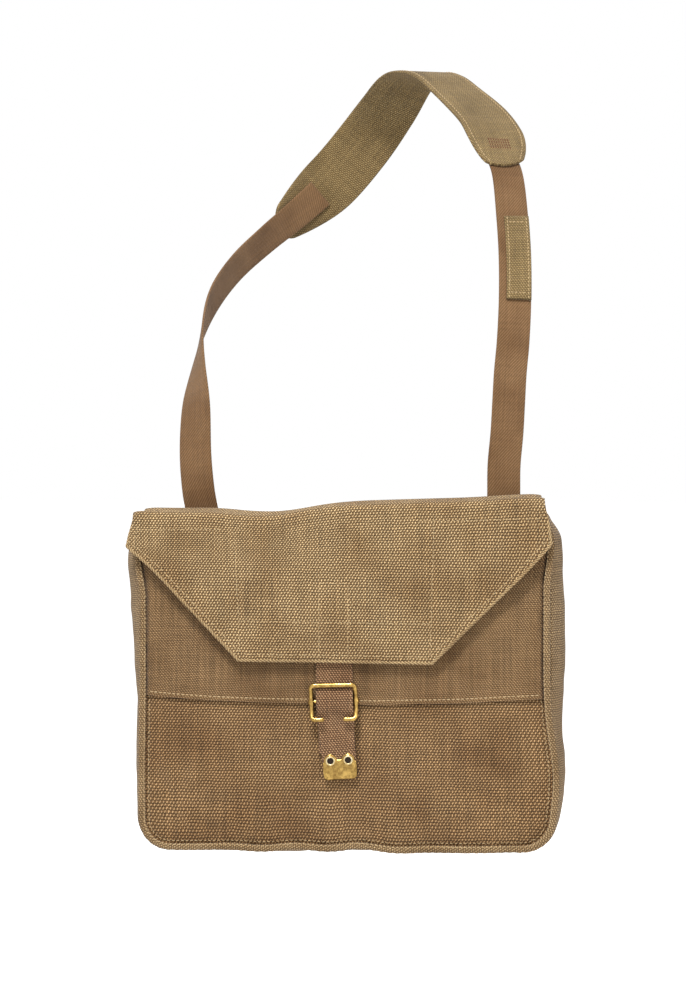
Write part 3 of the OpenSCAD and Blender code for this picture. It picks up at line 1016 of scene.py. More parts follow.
        def face(x: np.ndarray, z: np.ndarray) -> np.ndarray:
            """The band's outer face, whose lower edge hangs uneven and stands off a little.

            Args:
                x: Across the cut cloth.
                z: Up the cut cloth.

            Returns:
                The face's point for each pair.
            """
            hang = 3.2 * np.abs(x / half) ** 3 * 1.9 - 2.2 + 0.7 * wander(x, x * 0, 120, 61)
            low = hang * ease(z, self.shape.band_z + 60, self.shape.band_z)
            fold = 0.3 * np.exp(-(((z - self.shape.band_z - 1.2) / 1.6) ** 2))
            flare = 0.18 * (1 + wander(x, z, 90, 63)) * ease(z, self.shape.band_z + 26, self.shape.band_z)
            points = panel(x, z + low)
            points[..., 1] -= self.band_t + 0.15 + fold + flare
            return points

        mesher = Mesher()
        z = np.concatenate([
            # Rows close together make the folded edge round
            self.shape.band_z + np.array([0, 0.5, 1.2, 2.0, 3.2, 5.0]),
            np.linspace(self.shape.band_z + 8, self.shape.mouth, 52),
        ])[:, None]
        x = np.linspace(-half, half, 104)[None]
        x, z = np.broadcast_arrays(x, z)
        mesher.add_sheet(face(x, z), np.stack([x, z], -1), self.band_t)
        row = np.linspace(-half + 2, half - 2, 120)
        mesher.add_row_on(face, row, np.full(len(row), self.shape.band_z + 3.6), PANEL_STITCH)
        cloth = [self.finishes.band, self.finishes.thread]
        self._ride(mesher.build("front_band_cloth", cloth, Slot.BODY, "front_band"))

    def mouth_hems(self) -> None:
        """Makes the hem inside the front of the mouth and the flap's anchor inside the back."""
        for name, facing, seed, node, finish in (
            ("mouth_facing_cloth", -1, 11, "mouth_facing", self.finishes.body),
            ("flap_anchor_cloth", 1, 23, "flap_anchor", self.finishes.flap),
        ):
            panel = self.panel(facing, seed)

            def face(
                x: np.ndarray, z: np.ndarray, panel: Surface = panel, facing: int = facing,
            ) -> np.ndarray:
                """The hem's face, just inside the panel's own cloth.

                Args:
                    x: Across the cut cloth.
                    z: Up the cut cloth.
                    panel: The outer face of the panel.
                    facing: -1 for the front and 1 for the back.

                Returns:
                    The face's point for each pair.
                """
                points = panel(x, z)
                points[..., 1] -= facing * (self.shape.cloth + self.hem_t + 0.2)
                return points

            mesher = Mesher()
            z = np.linspace(self.shape.mouth - self.hem_depth, self.shape.mouth - 0.4, 11)[:, None]
            x, z = np.broadcast_arrays(np.linspace(-157, 157, 100)[None], z)
            mesher.add_sheet(face(x, z), np.stack([x, z], -1), self.hem_t, flip=facing < 0)
            row = np.linspace(-155, 155, 120)
            level = np.full(len(row), self.shape.mouth - self.hem_depth + 3)
            mesher.add_row_on(face, row, level, PANEL_STITCH, outward=float(facing))
            self._ride(mesher.build(name, [finish, self.finishes.thread], Slot.BODY, node))

    def build(self) -> None:
        """Makes every piece of the pocket."""
        self.panels()
        self.gusset()
        self.seams()
        self.band()
        self.mouth_hems()


@dataclass
class Flap:
    """The flap: one cloth that is sewn inside the back, crosses the mouth and hangs
    down the front, with cut corners, a rolled hem and a lining behind the hem."""

    finishes: Finishes
    shape: BagShape = field(default_factory=BagShape)
    top_z: float = 299.8
    front_y: float = -38.8
    hem_z: float = 164.1
    corner_z: float = 263.0
    fold_r: float = 7.0
    thick: float = 2.4
    step: float = 3.0
    split_y: float = -6.0
    edge_r: float = 1.4
    edge_step: float = 0.8
    lining_t: float = 1.1

    def profile(self) -> np.ndarray:
        """Draws the flap's line over the mouth and down the front.

        Returns:
            The line's points, as y and z.
        """
        rear = self.shape.half_d + 1.0
        turn = np.radians(np.linspace(0, 90, 8))
        arc = np.stack([
            self.front_y + self.fold_r * (1 - np.sin(turn)), self.top_z - self.fold_r * (1 - np.cos(turn)),
        ], 1)
        back = [(rear, self.top_z - 6.5), (rear - 0.8, self.top_z - 2.5), (rear - 4.0, self.top_z)]
        top = np.stack([np.linspace(rear - 7, self.front_y + self.fold_r, 20), np.full(20, self.top_z)], 1)
        face = np.linspace(self.top_z - self.fold_r, self.hem_z, 44)[1:]
        return np.vstack([back, top, arc[1:], np.stack([np.full(len(face), self.front_y), face], 1)])

    def runs(self) -> np.ndarray:
        """How far along the flap each point of its profile lies."""
        return distances(self.profile())

    def run_at(self, z: float) -> float:
        """How far along the flap a height on its front lies."""
        return float(self.runs()[-1] - (z - self.hem_z))

    def edges(self, run: np.ndarray) -> tuple[np.ndarray, np.ndarray]:
        """Reads the flap's outline.

        Args:
            run: Distances along the flap.

        Returns:
            The x of its left and of its right edge at each of them.
        """
        corner, hem = self.run_at(self.corner_z), self.run_at(self.hem_z)
        top = self.run_at(self.top_z - self.fold_r)
        left = np.interp(run, [0, top, corner, hem], [-180.0, -179.5, -184.4, -89.2])
        right = np.interp(run, [0, top, corner, hem], [162.0, 168.5, 173.6, 74.2])
        return left, right

    def face(self, x: np.ndarray, run: np.ndarray) -> np.ndarray:
        """Lays the flap's outer face over the mouth and down the front.

        Args:
            x: Distances across the cloth.
            run: Distances along it, from the back of the mouth.

        Returns:
            The face's point for each pair.
        """
        line, runs = self.profile(), self.runs()
        y = np.interp(run, runs, line[:, 0])
        z = np.interp(run, runs, line[:, 1])
        low = ease(z, self.top_z - 10, self.corner_z - 20)
        slack = -3.4 * ease(y, 30, 12) * ease(y, self.front_y + 3, -22) * (1 + 0.3 * wander(x, y, 110, 71))
        left, right = self.edges(run)
        near = np.minimum(x - left, right - x)
        hang = z - self.hem_z
        curl = (1.5 + 0.5 * wander(x, z, 60, 73)) * np.exp(-np.maximum(near, 0) / 12) * low
        kick = 2.4 * np.exp(-np.maximum(hang, 0) / 16) * (0.8 + 0.4 * wander(x, x * 0, 75, 75)) * low
        calm = np.exp(-(((x - self.shape.closure_x) / 32) ** 4)) * ease(hang, 70, 20)
        waves = (0.8 * wander(x, z, 85, 77) + 0.35 * wander(x, z, 30, 79)) * low * (1 - 0.7 * calm)
        bow = 1.6 * np.sin(math.pi * np.clip(hang / 130, 0, 1)) * low
        out = curl + kick * (1 - 0.6 * calm) + waves + bow - 0.6
        tilt = -0.007 * x * low
        drop = self.shape.slump(x) * ease(z, 236, self.top_z - 4)
        soft = -1.5 * np.exp(-np.maximum(near, 0) / 4.0) * ease(z, self.top_z - 9, self.top_z)
        return np.stack([x, y - np.maximum(out, -0.4) * low, z + slack + drop + tilt + soft], -1)

    def grid(self, first: float, last: float) -> tuple[np.ndarray, np.ndarray]:
        """Points over a stretch of the flap.

        Args:
            first: Where the stretch starts, along the flap.
            last: Where it ends.

        Returns:
            The points, and where they lie on the cloth.
        """
        stops = [first, *(s for s in (self.run_at(self.corner_z),) if first < s < last), last]
        run = np.concatenate([
            np.linspace(a, b, max(2, round((b - a) / self.step) + 1))[int(k > 0):]
            for k, (a, b) in enumerate(zip(stops[:-1], stops[1:]))
        ])
        left, right = self.edges(run)
        share = np.linspace(0, 1, 121)[None]
        x = left[:, None] * (1 - share) + right[:, None] * share
        run = np.broadcast_to(run[:, None], x.shape)
        return self.face(x, run), np.stack([x, -run], -1)

    def add_edge(self, mesher: Mesher, points: np.ndarray) -> None:
        """Draws the rolled and whipped edge along a line of edge points.

        Args:
            mesher: What it is drawn in.
            points: The outer face's points along the edge.
        """
        line = evenly(points, self.edge_step)
        run = np.arange(len(line)) * self.edge_step
        whipped = 1 + 0.10 * np.sin(run * math.tau / 3.3) + 0.05 * wander(run, run * 0, 40, 83)
        up = np.broadcast_to([0.0, -1.0, 0.35], line.shape)
        thin = np.minimum(1, np.minimum(run, run[-1] - run) / 14 + 0.15)
        section = round_section(self.edge_r, 8)[None] * (whipped * thin)[:, None, None]
        mesher.add_sweep(line + [0, 0.9, 0], up, section, slot=2)

    def build(self) -> None:
        """Makes the flap's pieces, its lining and its stitches."""
        cloth = [self.finishes.flap, self.finishes.thread, self.finishes.hem]
        total = self.runs()[-1]
        split = float(np.interp(-self.split_y, -self.profile()[:30, 0], self.runs()[:30]))

        mesher = Mesher()
        points, across = self.grid(0, split)
        mesher.add_sheet(points, across, self.thick, flip=True)
        rear = mesher.build("flap_top_cloth", cloth, Slot.FLAP, "flap_top")
        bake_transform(rear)

        mesher = Mesher()
        points, across = self.grid(split, total)
        mesher.add_sheet(points, across, self.thick, flip=True)
        face = np.searchsorted(np.linspace(split, total, len(points)), self.run_at(self.top_z - 9))
        self.add_edge(mesher, np.vstack([points[face:, 0], points[-1, 1:-1], points[:face:-1, -1]]))
        self.add_seams(mesher)
        front = mesher.build("flap_front_cloth", cloth, Slot.FLAP, "flap_front")
        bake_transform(front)
        self.lining()

    def add_seams(self, mesher: Mesher) -> None:
        """Draws the rows of stitches on the front of the flap.

        Args:
            mesher: What they are drawn in.
        """
        hem = self.run_at(self.hem_z)
        rows = [
            ((-93.3, 283), (-88.0, 169)), ((75.8, 283), (72.6, 169)), ((-91, 197.2), (74, 197.2)),
            ((-178, 281.5), (-98, 284)), ((62, 283.5), (166, 281.5)),
            ((-21, 230), (-21, 166)), ((3.4, 230), (3.4, 166)), ((-21, 230), (3.4, 230)),
            ((-86, 169.2), (70, 169.2)),
        ]
        for (x0, z0), (x1, z1) in rows:
            count = max(8, round(math.hypot(x1 - x0, z1 - z0) / 4))
            x = np.linspace(x0, x1, count)
            run = np.array([self.run_at(z) for z in np.linspace(z0, z1, count)])
            mesher.add_row_on(self.face, x, run, FLAP_STITCH, outward=-1.0)
        # The hem's stitches run a little way in from the cut corners and the sides
        inset = 5.2
        run = np.linspace(self.run_at(self.top_z - 14), hem - inset, 60)
        left, right = self.edges(run)
        slant = np.where(run > self.run_at(self.corner_z), 1.4, 1.0)
        for x in (left + inset * slant, right - inset * slant):
            mesher.add_row_on(self.face, x, run, FLAP_STITCH, outward=-1.0)

    def lining(self) -> None:
        """Makes the lining that covers the closure strap's end behind the flap."""
        def face(x: np.ndarray, run: np.ndarray) -> np.ndarray:
            """The lining's face towards the flap.

            Args:
                x: Across the cloth.
                run: Along the cloth, from the back of the mouth.

            Returns:
                The face's point for each pair.
            """
            points = self.face(x, run)
            points[..., 1] += self.thick + 1.2
            return points

        mesher = Mesher()
        run = np.linspace(self.run_at(275), self.run_at(self.hem_z + 2), 36)[:, None]
        x, run = np.broadcast_arrays(np.linspace(-86, 68, 52)[None], run)
        mesher.add_sheet(face(x, run), np.stack([x, -run], -1), self.lining_t)
        row = np.linspace(-84, 66, 50)
        mesher.add_row_on(face, row, np.full(len(row), self.run_at(272)), PANEL_STITCH, outward=1.0)
        cloth = [self.finishes.flap, self.finishes.thread]
        piece = mesher.build("flap_lining_cloth", cloth, Slot.FLAP, "flap_lining")
        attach(piece, Body.FLAP_FACE.value)


@dataclass
class WebbingLoop:
    """A chape: a webbing loop round a buckle's bar, sewn down on the bag."""

    finishes: Finishes
    name: str
    node: str
    x: float
    cloth_y: float
    bar_z: float
    facing: int
    lift: float
    length: float
    width: float = 26.0
    thick: float = 1.6
    bar_r: float = 1.6

    def build(self) -> None:
        """Makes the loop with its stitches."""
        middle = self.bar_r + 0.25 + self.thick / 2
        bar_out = self.bar_r + 0.2 + self.thick + 0.05
        turn = np.radians(np.linspace(-75, 205, 15))
        loop = [(self.lift + bar_out + middle * math.sin(a), middle * math.cos(a)) for a in turn[::-1]]
        down = [(self.thick * 1.5, -12.5 - self.lift), (self.thick * 1.5, -self.length)]
        under = [
            (self.thick * 0.5 + self.lift * 0.2, -9 - self.lift), (self.thick * 0.5, -self.length + 0.5),
        ]
        mesher = Mesher()
        section = flat_section(self.width, self.thick, -self.thick / 2)
        for line in ([*loop, *down], under):
            path = evenly(rounded_corners(line, 2), 1.0)
            points = np.stack([
                np.full(len(path), self.x), self.cloth_y + self.facing * path[:, 0], self.bar_z + path[:, 1],
            ], 1)
            along = unit(np.gradient(points, axis=0))
            mesher.add_sweep(points, np.cross(along, np.broadcast_to([1.0, 0.0, 0.0], along.shape)), section)
        self.add_rows(mesher)
        cloth = [self.finishes.closure, self.finishes.thread]
        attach(mesher.build(self.name, cloth, Slot.CLOSURE, self.node), Body.BAG.value)

    def add_rows(self, mesher: Mesher) -> None:
        """Draws the stitches that hold the loop, along its end and both its sides.

        Args:
            mesher: What they are drawn in.
        """
        half = 10.5
        low, high = self.bar_z - self.length + 3, self.bar_z - 13 - self.lift
        for x0, z0, x1, z1 in ((-half, low, half, low), (-half, low, -half, high), (half, low, half, high)):
            line = np.stack([
                np.linspace(self.x + x0, self.x + x1, 12),
                np.full(12, self.cloth_y + self.facing * self.thick * 2), np.linspace(z0, z1, 12),
            ], 1)
            out = np.broadcast_to([0.0, float(self.facing), 0.0], line.shape)
            mesher.add_stitches(line, out, CHAPE_STITCH)


@dataclass
class FoldedTip:
    """Brass sheet folded under the end of a strap, its front edge cut in a lobe round
    each eyelet where there are any."""

    width: float
    inside: float
    front_h: float
    back_h: float
    sheet: float = 0.8
    eyelets: tuple[float, ...] = ()
    eyelet_z: float = 15.6
    lobe_r: float = 5.3
    corner: float = 3.2
    fold_z: float = 0.9
    columns: int = 81

    def top(self, x: np.ndarray) -> np.ndarray:
        """Reads the lobed front edge.

        Args:
            x: Distances across.

        Returns:
            The edge's height at each of them.
        """
        height = np.full(x.shape, self.front_h)
        if self.eyelets:
            height = np.where(np.abs(x) < max(self.eyelets), self.eyelet_z + 0.8, self.eyelet_z - 1.2)
        for middle in self.eyelets:
            lobe = self.eyelet_z + np.sqrt(np.maximum(self.lobe_r**2 - (x - middle) ** 2, 0))
            height = np.where(np.abs(x - middle) < self.lobe_r, lobe, height)
        return height

    def grid(self) -> tuple[np.ndarray, np.ndarray]:
        """Draws the brass's outer face, with x across, y outwards and z up from the strap's end.

        Returns:
            The points, and where they lie on the sheet.
        """
        half = self.width / 2
        x = np.linspace(-half, half, self.columns)
        fold_r = self.inside / 2 + self.sheet
        corner, inset = self.corner, half - np.abs(x)
        round_off = corner - np.sqrt(np.maximum(corner**2 - (corner - inset) ** 2, 0))
        rise = np.where(inset < corner, round_off, 0.0)
        turn = np.radians(np.linspace(-90, 90, 9))
        rows = []
        for z in np.linspace(self.back_h, self.fold_z, 8):
            rows.append(np.stack([x, np.full(self.columns, fold_r), np.maximum(z, rise * 0.9)], 1))
        for a in turn[::-1]:
            drop = self.fold_z - fold_r * math.cos(a) * 0.8
            rows.append(np.stack([x, np.full(self.columns, fold_r * math.sin(a)), drop + rise], 1))
        top = self.top(x)
        for share in np.linspace(0, 1, 22)[1:]:
            z = self.fold_z + rise + (top - self.fold_z - rise) * share
            dome = 0.28 * math.sin(math.pi * share) * (1 - (x / half) ** 4)
            dents = 0.10 * np.sin(x * 1.3 + share * 7) + 0.09 * np.cos(x * 0.7 - share * 11)
            rows.append(np.stack([x, -fold_r - dome - dents * (share < 0.98), z], 1))
        points = np.array(rows)
        return points, points[..., [0, 2]]


@dataclass
class ClosureStrap:
    """The strap sewn behind the flap's hem that runs through the front buckle, with
    its brass tip and two eyelets."""

    finishes: Finishes
    x: float = -9.0
    hem_z: float = 163.8
    lean: float = 2.0
    sway: float = 2.4
    width: float = 29.0
    thick: float = 2.0
    bar_z: float = 130.0
    end_z: float = 64.8
    flat_y: float = -34.0
    over_y: float = -40.55
    low_y: float = -34.5
    eyelet_up: float = 15.6
    eyelet_pitch: float = 15.0
    hole_r: float = 2.7
    step: float = 1.2

    def shift(self, z: np.ndarray) -> np.ndarray:
        """How far the strap's middle has moved sideways at each height."""
        leaned = (self.hem_z - z) * math.tan(math.radians(self.lean))
        return self.x + leaned + self.sway * ease(z, self.bar_z - 14, self.end_z)

    def strap(self) -> None:
        """Makes the strap itself."""
        line = [
            (self.flat_y, self.hem_z + 66), (self.flat_y, self.hem_z), (self.flat_y, self.bar_z + 19),
            (self.over_y + 0.4, self.bar_z + 6), (self.over_y - 0.3, self.bar_z),
            (self.over_y + 0.4, self.bar_z - 5), (self.low_y, self.bar_z - 16),
            (self.low_y - 0.5, self.bar_z - 30), (self.low_y, self.end_z + 14),
            (self.low_y, self.end_z + 0.4),
        ]
        path = evenly(rounded_corners(line, 3), self.step)
        points = np.stack([self.shift(path[:, 1]), path[:, 0], path[:, 1]], 1)
        along = unit(np.gradient(points, axis=0))
        up = np.cross(along, np.broadcast_to([1.0, 0.0, 0.0], along.shape))
        run = np.arange(len(points)) * self.step
        # The strap is spread where it leaves the buckle and drawn in above its tip
        width = 1 + 0.008 * wander(run, run * 0, 24, 91) + 0.07 * ease(path[:, 1], 88, 116)
        width = width - 0.055 * ease(path[:, 1], 84, 72)
        spread = np.stack([width, np.ones(len(width))], 1)[:, None]
        mesher = Mesher()
        mesher.add_sweep(points, up, flat_section(self.width, self.thick, -self.thick / 2)[None] * spread)
        cloth = [self.finishes.closure]
        piece = mesher.build("closure_strap_webbing", cloth, Slot.CLOSURE, "closure_strap")
        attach(piece, Body.FLAP_FACE.value)

    def _hang(self, points: np.ndarray) -> np.ndarray:
        """Puts points drawn from the strap's end to where that end hangs.

        Args:
            points: The points, as across, outwards and up from the end.

        Returns:
            The points in the bag's frame.
        """
        reach = 16.0
        end, above = (self.shift(np.array(z)) for z in (self.end_z, self.end_z + reach))
        slope = (above - end) / reach
        x = end + points[..., 0] + points[..., 2] * slope
        z = self.end_z + points[..., 2] - points[..., 0] * slope
        return np.stack([x, self.low_y + points[..., 1], z], -1)

    def tip(self) -> None:
        """Makes the brass tip."""
        tip = FoldedTip(
            self.width - 1.0, self.thick + 0.1, 18.2, 13.0, eyelets=self._across(), eyelet_z=self.eyelet_up,
        )
        points, across = tip.grid()
        mesher = Mesher()
        mesher.add_sheet(self._hang(points), across, tip.sheet)
        piece = mesher.build("closure_tip_brass", [self.finishes.brass], Slot.BRASS, "closure_tip")
        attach(piece, Body.FLAP_FACE.value)

    def _across(self) -> tuple[float, float]:
        """How far to each side of the strap's middle the eyelets are."""
        return -self.eyelet_pitch / 2, self.eyelet_pitch / 2

    def eyelets(self) -> None:
        """Makes the two eyelets and a dark disc in each, which is a painted shadow inside the hole."""
        mesher = Mesher()
        face = self.thick / 2
        # Radius and depth of a rolled eyelet, from its barrel's back round its lip
        front = -face - 1.0
        lip = [
            (3.7, face + 0.35), (3.2, face + 0.6), (2.6, face + 0.3), (2.5, -face), (2.5, front - 0.4),
            (2.8, front - 0.95), (3.3, front - 1.15), (3.8, front - 0.95), (4.1, front - 0.5),
            (4.05, front + 0.1), (3.4, front + 0.2), (3.0, front + 0.6), (3.0, face),
        ]
        ring = rounded_corners(lip + lip[:1], 1)[:-1]
        sides = 40
        turn = np.linspace(0, math.tau, sides, endpoint=False)
        rows = np.arange(sides + 1) % sides
        for middle in self._across():
            x = middle + ring[None, :, 0] * np.cos(turn)[:, None]
            z = self.eyelet_up + ring[None, :, 0] * np.sin(turn)[:, None]
            y = np.broadcast_to(ring[None, :, 1], x.shape)
            points = np.stack([x, y, z], -1)[rows]
            rounds = np.concatenate([points, points[:, :1]], 1)
            mesher.add(self._hang(rounds), grid_faces(sides + 1, len(ring) + 1), rounds[..., [0, 2]])
            # Painted shadow: a dark disc in each hole stands for the shade seen through it
            shadow_disc = np.stack([
                middle + self.hole_r * np.cos(turn), np.full(sides, front - 0.55),
                self.eyelet_up + self.hole_r * np.sin(turn),
            ], 1)
            mesher.add(self._hang(shadow_disc), [tuple(range(sides))], shadow_disc[:, [0, 2]], slot=1)
        finish = [self.finishes.lip, self.finishes.hole_shadow]
        piece = mesher.build("tip_eyelets_brass", finish, Slot.BRASS, "tip_eyelets")
        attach(piece, Body.FLAP_FACE.value)

    def build(self) -> None:
        """Makes the strap, its tip and the eyelets."""
        self.strap()
        self.tip()
        self.eyelets()


@dataclass
class ShoulderStrap:
    """The long strap: two runs of webbing that meet under the shoulder pad, the
    doubled end on the chest and a brass tip at each tail."""

    finishes: Finishes
    width: float = 28.5
    thick: float = 2.0
    buckle_x: float = 130.0
    strap_y: float = 38.15
    mouth_z: float = 297.0
    bar_z: float = 271.0
    tail_z: float = 176.0
    pad_width: float = 56.0
    pad_thick: float = 3.0
    pad_gap: float = 0.6
    overlap_width: float = 22.0
    overlap_thick: float = 2.2
    left_lead: float = 5.0
    pad_span: tuple[float, float] = (13.4, 24.6)
    overlap_span: tuple[float, float] = (10.0, 12.0)
    # Across, behind the back panel and above the mouth, then where the outer face looks
    hanging: tuple[tuple[tuple[float, float, float], tuple[float, float, float]], ...] = (
        ((130, 13.5, 31), (0, -1, 0.1)), ((132, 21, 58), (0, -1, 0.2)),
        ((133, 29, 84), (0, -1, 0.2)), ((134, 37, 110), (0, -1, 0.2)),
        ((136, 45, 137), (0.1, -1, 0.2)), ((137, 56, 173), (0.15, -1, 0.3)),
        ((136, 70, 211), (0.2, -1, 0.3)), ((133, 87, 246), (0.2, -1, 0.4)),
        ((128, 110, 283), (0.3, -1, 0.5)), ((121, 126, 303), (0.4, -1, 0.6)),
        ((112, 146, 325), (0.5, -1, 0.8)), ((99, 168, 343), (0.5, -0.9, 1)),
        ((76, 196, 365), (0.4, -0.6, 1)), ((58, 216, 380), (0.2, -0.3, 1)),
        ((42, 234, 385), (0, 0, 1)), ((24, 255, 377), (-0.1, 0.5, 1)),
        ((5, 276, 355), (-0.1, 0.9, 0.7)), ((-20, 290, 325), (0, 1, 0.4)),
        ((-48, 292, 293), (-0.1, 1, 0.2)), ((-78, 276, 263), (-0.4, 0.9, 0.2)),
        ((-106, 242, 235), (-0.7, 0.7, 0.2)), ((-128, 195, 207), (-0.9, 0.4, 0.1)),
        ((-141, 142, 177), (-1, 0.1, 0)), ((-145, 95, 146), (-1, -0.3, 0)),
        ((-144, 58, 111), (-0.7, -0.7, 0)), ((-141, 32, 75), (-0.3, -1, 0.1)),
        ((-139, 17, 39), (-0.1, -1, 0.1)),
    )
    panel_y: float = 30.0

    def __post_init__(self) -> None:
        """Lays out the whole route, from the right tail to the left one."""
        levels = [self.tail_z, self.tail_z + 45, self.bar_z - 15, self.bar_z + 5, self.mouth_z + 7]
        right = [((self.buckle_x, self.strap_y, z), (0, -1, 0)) for z in levels]
        # The left run starts outwards as soon as it is clear of the mouth
        left = [
            ((-self.buckle_x - self.left_lead * (z > self.mouth_z), self.strap_y, z), (0, -1, 0))
            for z in levels[::-1]
        ]
        above = [((x, self.panel_y + y, self.mouth_z + z), out) for (x, y, z), out in self.hanging]
        self.route = np.array([[point, out] for point, out in (*right, *above, *left)], float)

    def _read(self, column: int, u: np.ndarray) -> np.ndarray:
        """Reads the route along a smooth curve.

        Args:
            column: 0 for its points and 1 for its outward directions.
            u: Where it is read, counted in the route's points.

        Returns:
            What was read at each place.
        """
        last = len(self.route) - 1
        u = np.clip(u, 0, last)
        i = np.minimum(np.floor(u).astype(int), last - 1)
        a, b, c, d = (self.route[np.clip(i + k, 0, last), column] for k in (-1, 0, 1, 2))
        t = (u - i)[:, None]
        square, cube = 2 * a - 5 * b + 4 * c - d, 3 * b - a - 3 * c + d
        return 0.5 * (2 * b + (c - a) * t + square * t**2 + cube * t**3)

    def frames(
        self, first: float, last: float, step: float = 0.05,
    ) -> tuple[np.ndarray, np.ndarray, np.ndarray]:
        """Reads a stretch of the route.

        Args:
            first: Where it starts, counted in the route's points.
            last: Where it ends.
            step: How far apart it is read.

        Returns:
            The places read, the points of the strap's middle line and the outward directions.
        """
        u = np.linspace(first, last, round((last - first) / step) + 1)
        points = self._read(0, u)
        along = unit(np.gradient(points, axis=0))
        out = self._read(1, u)
        return u, points, unit(out - along * np.sum(out * along, 1, keepdims=True))

    def runs(self) -> None:
        """Makes the two runs of webbing."""
        for name, first, last, node in (
            ("strap_front_webbing", 0.0, 14.6, "strap_front_run"),
            ("strap_back_webbing", 23.4, len(self.route) - 1.0, "strap_back_run"),
        ):
            mesher = Mesher()
            _, points, out = self.frames(first, last)
            mesher.add_sweep(points, out, flat_section(self.width, self.thick, -self.thick / 2))
            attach(mesher.build(name, [self.finishes.strap], Slot.STRAP, node), Body.STRAP.value)

    def pad_widths(self, u: np.ndarray) -> np.ndarray:
        """Reads the shoulder pad's width, which is rounded off at both ends.

        Args:
            u: Places along the route.

        Returns:
            The width at each place.
        """
        first, last = self.pad_span
        end = np.minimum(u - first, last - u)
        narrow = self.width + 3
        swell = np.sin(np.radians(90 * np.clip(end / 1.6, 0, 1)))
        rounded = np.sqrt(np.clip(1 - (1 - np.clip(end / 0.28, 0, 1)) ** 2, 0.09, 1))
        return (narrow + (self.pad_width - narrow) * swell) * rounded

    def pad(self) -> None:
        """Makes the shoulder pad with its edge stitches and bar tacks."""
        mesher = Mesher()
        u, points, out = self.frames(*self.pad_span, step=0.04)
        low = self.thick / 2 + self.pad_gap
        widths = self.pad_widths(u)
        section = np.array([flat_section(w, self.pad_thick, low, ends=6) for w in widths])
        mesher.add_sweep(points, out, section)
        side = np.cross(out, unit(np.gradient(points, axis=0)))
        face = points + out * (low + self.pad_thick)
        inner = slice(5, -5)
        for sign in (-1, 1):
            line = face + side * (sign * (widths / 2 - 4.2))[:, None]
            mesher.add_stitches(line[inner], out[inner], PAD_STITCH)
        for near in (np.abs(u - self.pad_span[0] - 1.0), np.abs(u - self.pad_span[1] + 1.0)):
            k = int(np.argmin(near))
            patch = slice(k - 6, k + 7)
            for shift in np.linspace(-9, 9, 9):
                mesher.add_stitches(face[patch] + side[patch] * shift, out[patch], TACK_STITCH, slot=2)
        cloth = [self.finishes.pad, self.finishes.thread, self.finishes.tack]
        piece = mesher.build("shoulder_pad_webbing", cloth, Slot.STRAP, "shoulder_pad")
        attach(piece, Body.STRAP.value)

    def overlap(self) -> None:
        """Makes the doubled end sewn on the front run."""
        mesher = Mesher()
        _, points, out = self.frames(*self.overlap_span)
        side = np.cross(unit(np.gradient(points, axis=0)), out)
        width = self.overlap_width
        # It lies along one edge of the run below it
        middle = points + side * (self.width - width) / 2
        low = self.thick / 2 + 0.3
        mesher.add_sweep(middle, out, flat_section(width, self.overlap_thick, low))
        face = middle + out * (low + self.overlap_thick)
        for sign in (-1, 1):
            mesher.add_stitches(face + side * sign * (width / 2 - 2.6), out, RIDGE_STITCH)
        for k in (3, -4):
            reach = side[k] * (width / 2 - 3)
            line = np.linspace(face[k] - reach, face[k] + reach, 8)
            mesher.add_stitches(line, np.broadcast_to(out[k], line.shape), END_STITCH)
        cloth = [self.finishes.pad, self.finishes.thread]
        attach(mesher.build("strap_overlap_webbing", cloth, Slot.STRAP, "strap_overlap"), Body.STRAP.value)

    def tips(self) -> None:
        """Makes the brass tip at each tail."""
        for name, side, node in (
            ("tail_tip_left", -1, "end_tip_left"), ("tail_tip_right", 1, "end_tip_right"),
        ):
            tip = FoldedTip(self.width + 1.2, self.thick + 0.1, 18.4, 18.4)
            points, across = tip.grid()
            mesher = Mesher()
            place = [side * self.buckle_x, self.strap_y, self.tail_z]
            mesher.add_sheet(points + place, across, tip.sheet)
            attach(mesher.build(name, [self.finishes.brass], Slot.BRASS, node), Body.STRAP.value)

    def build(self) -> None:
        """Makes every piece of the strap."""
        self.runs()
        self.pad()
        self.overlap()
        self.tips()


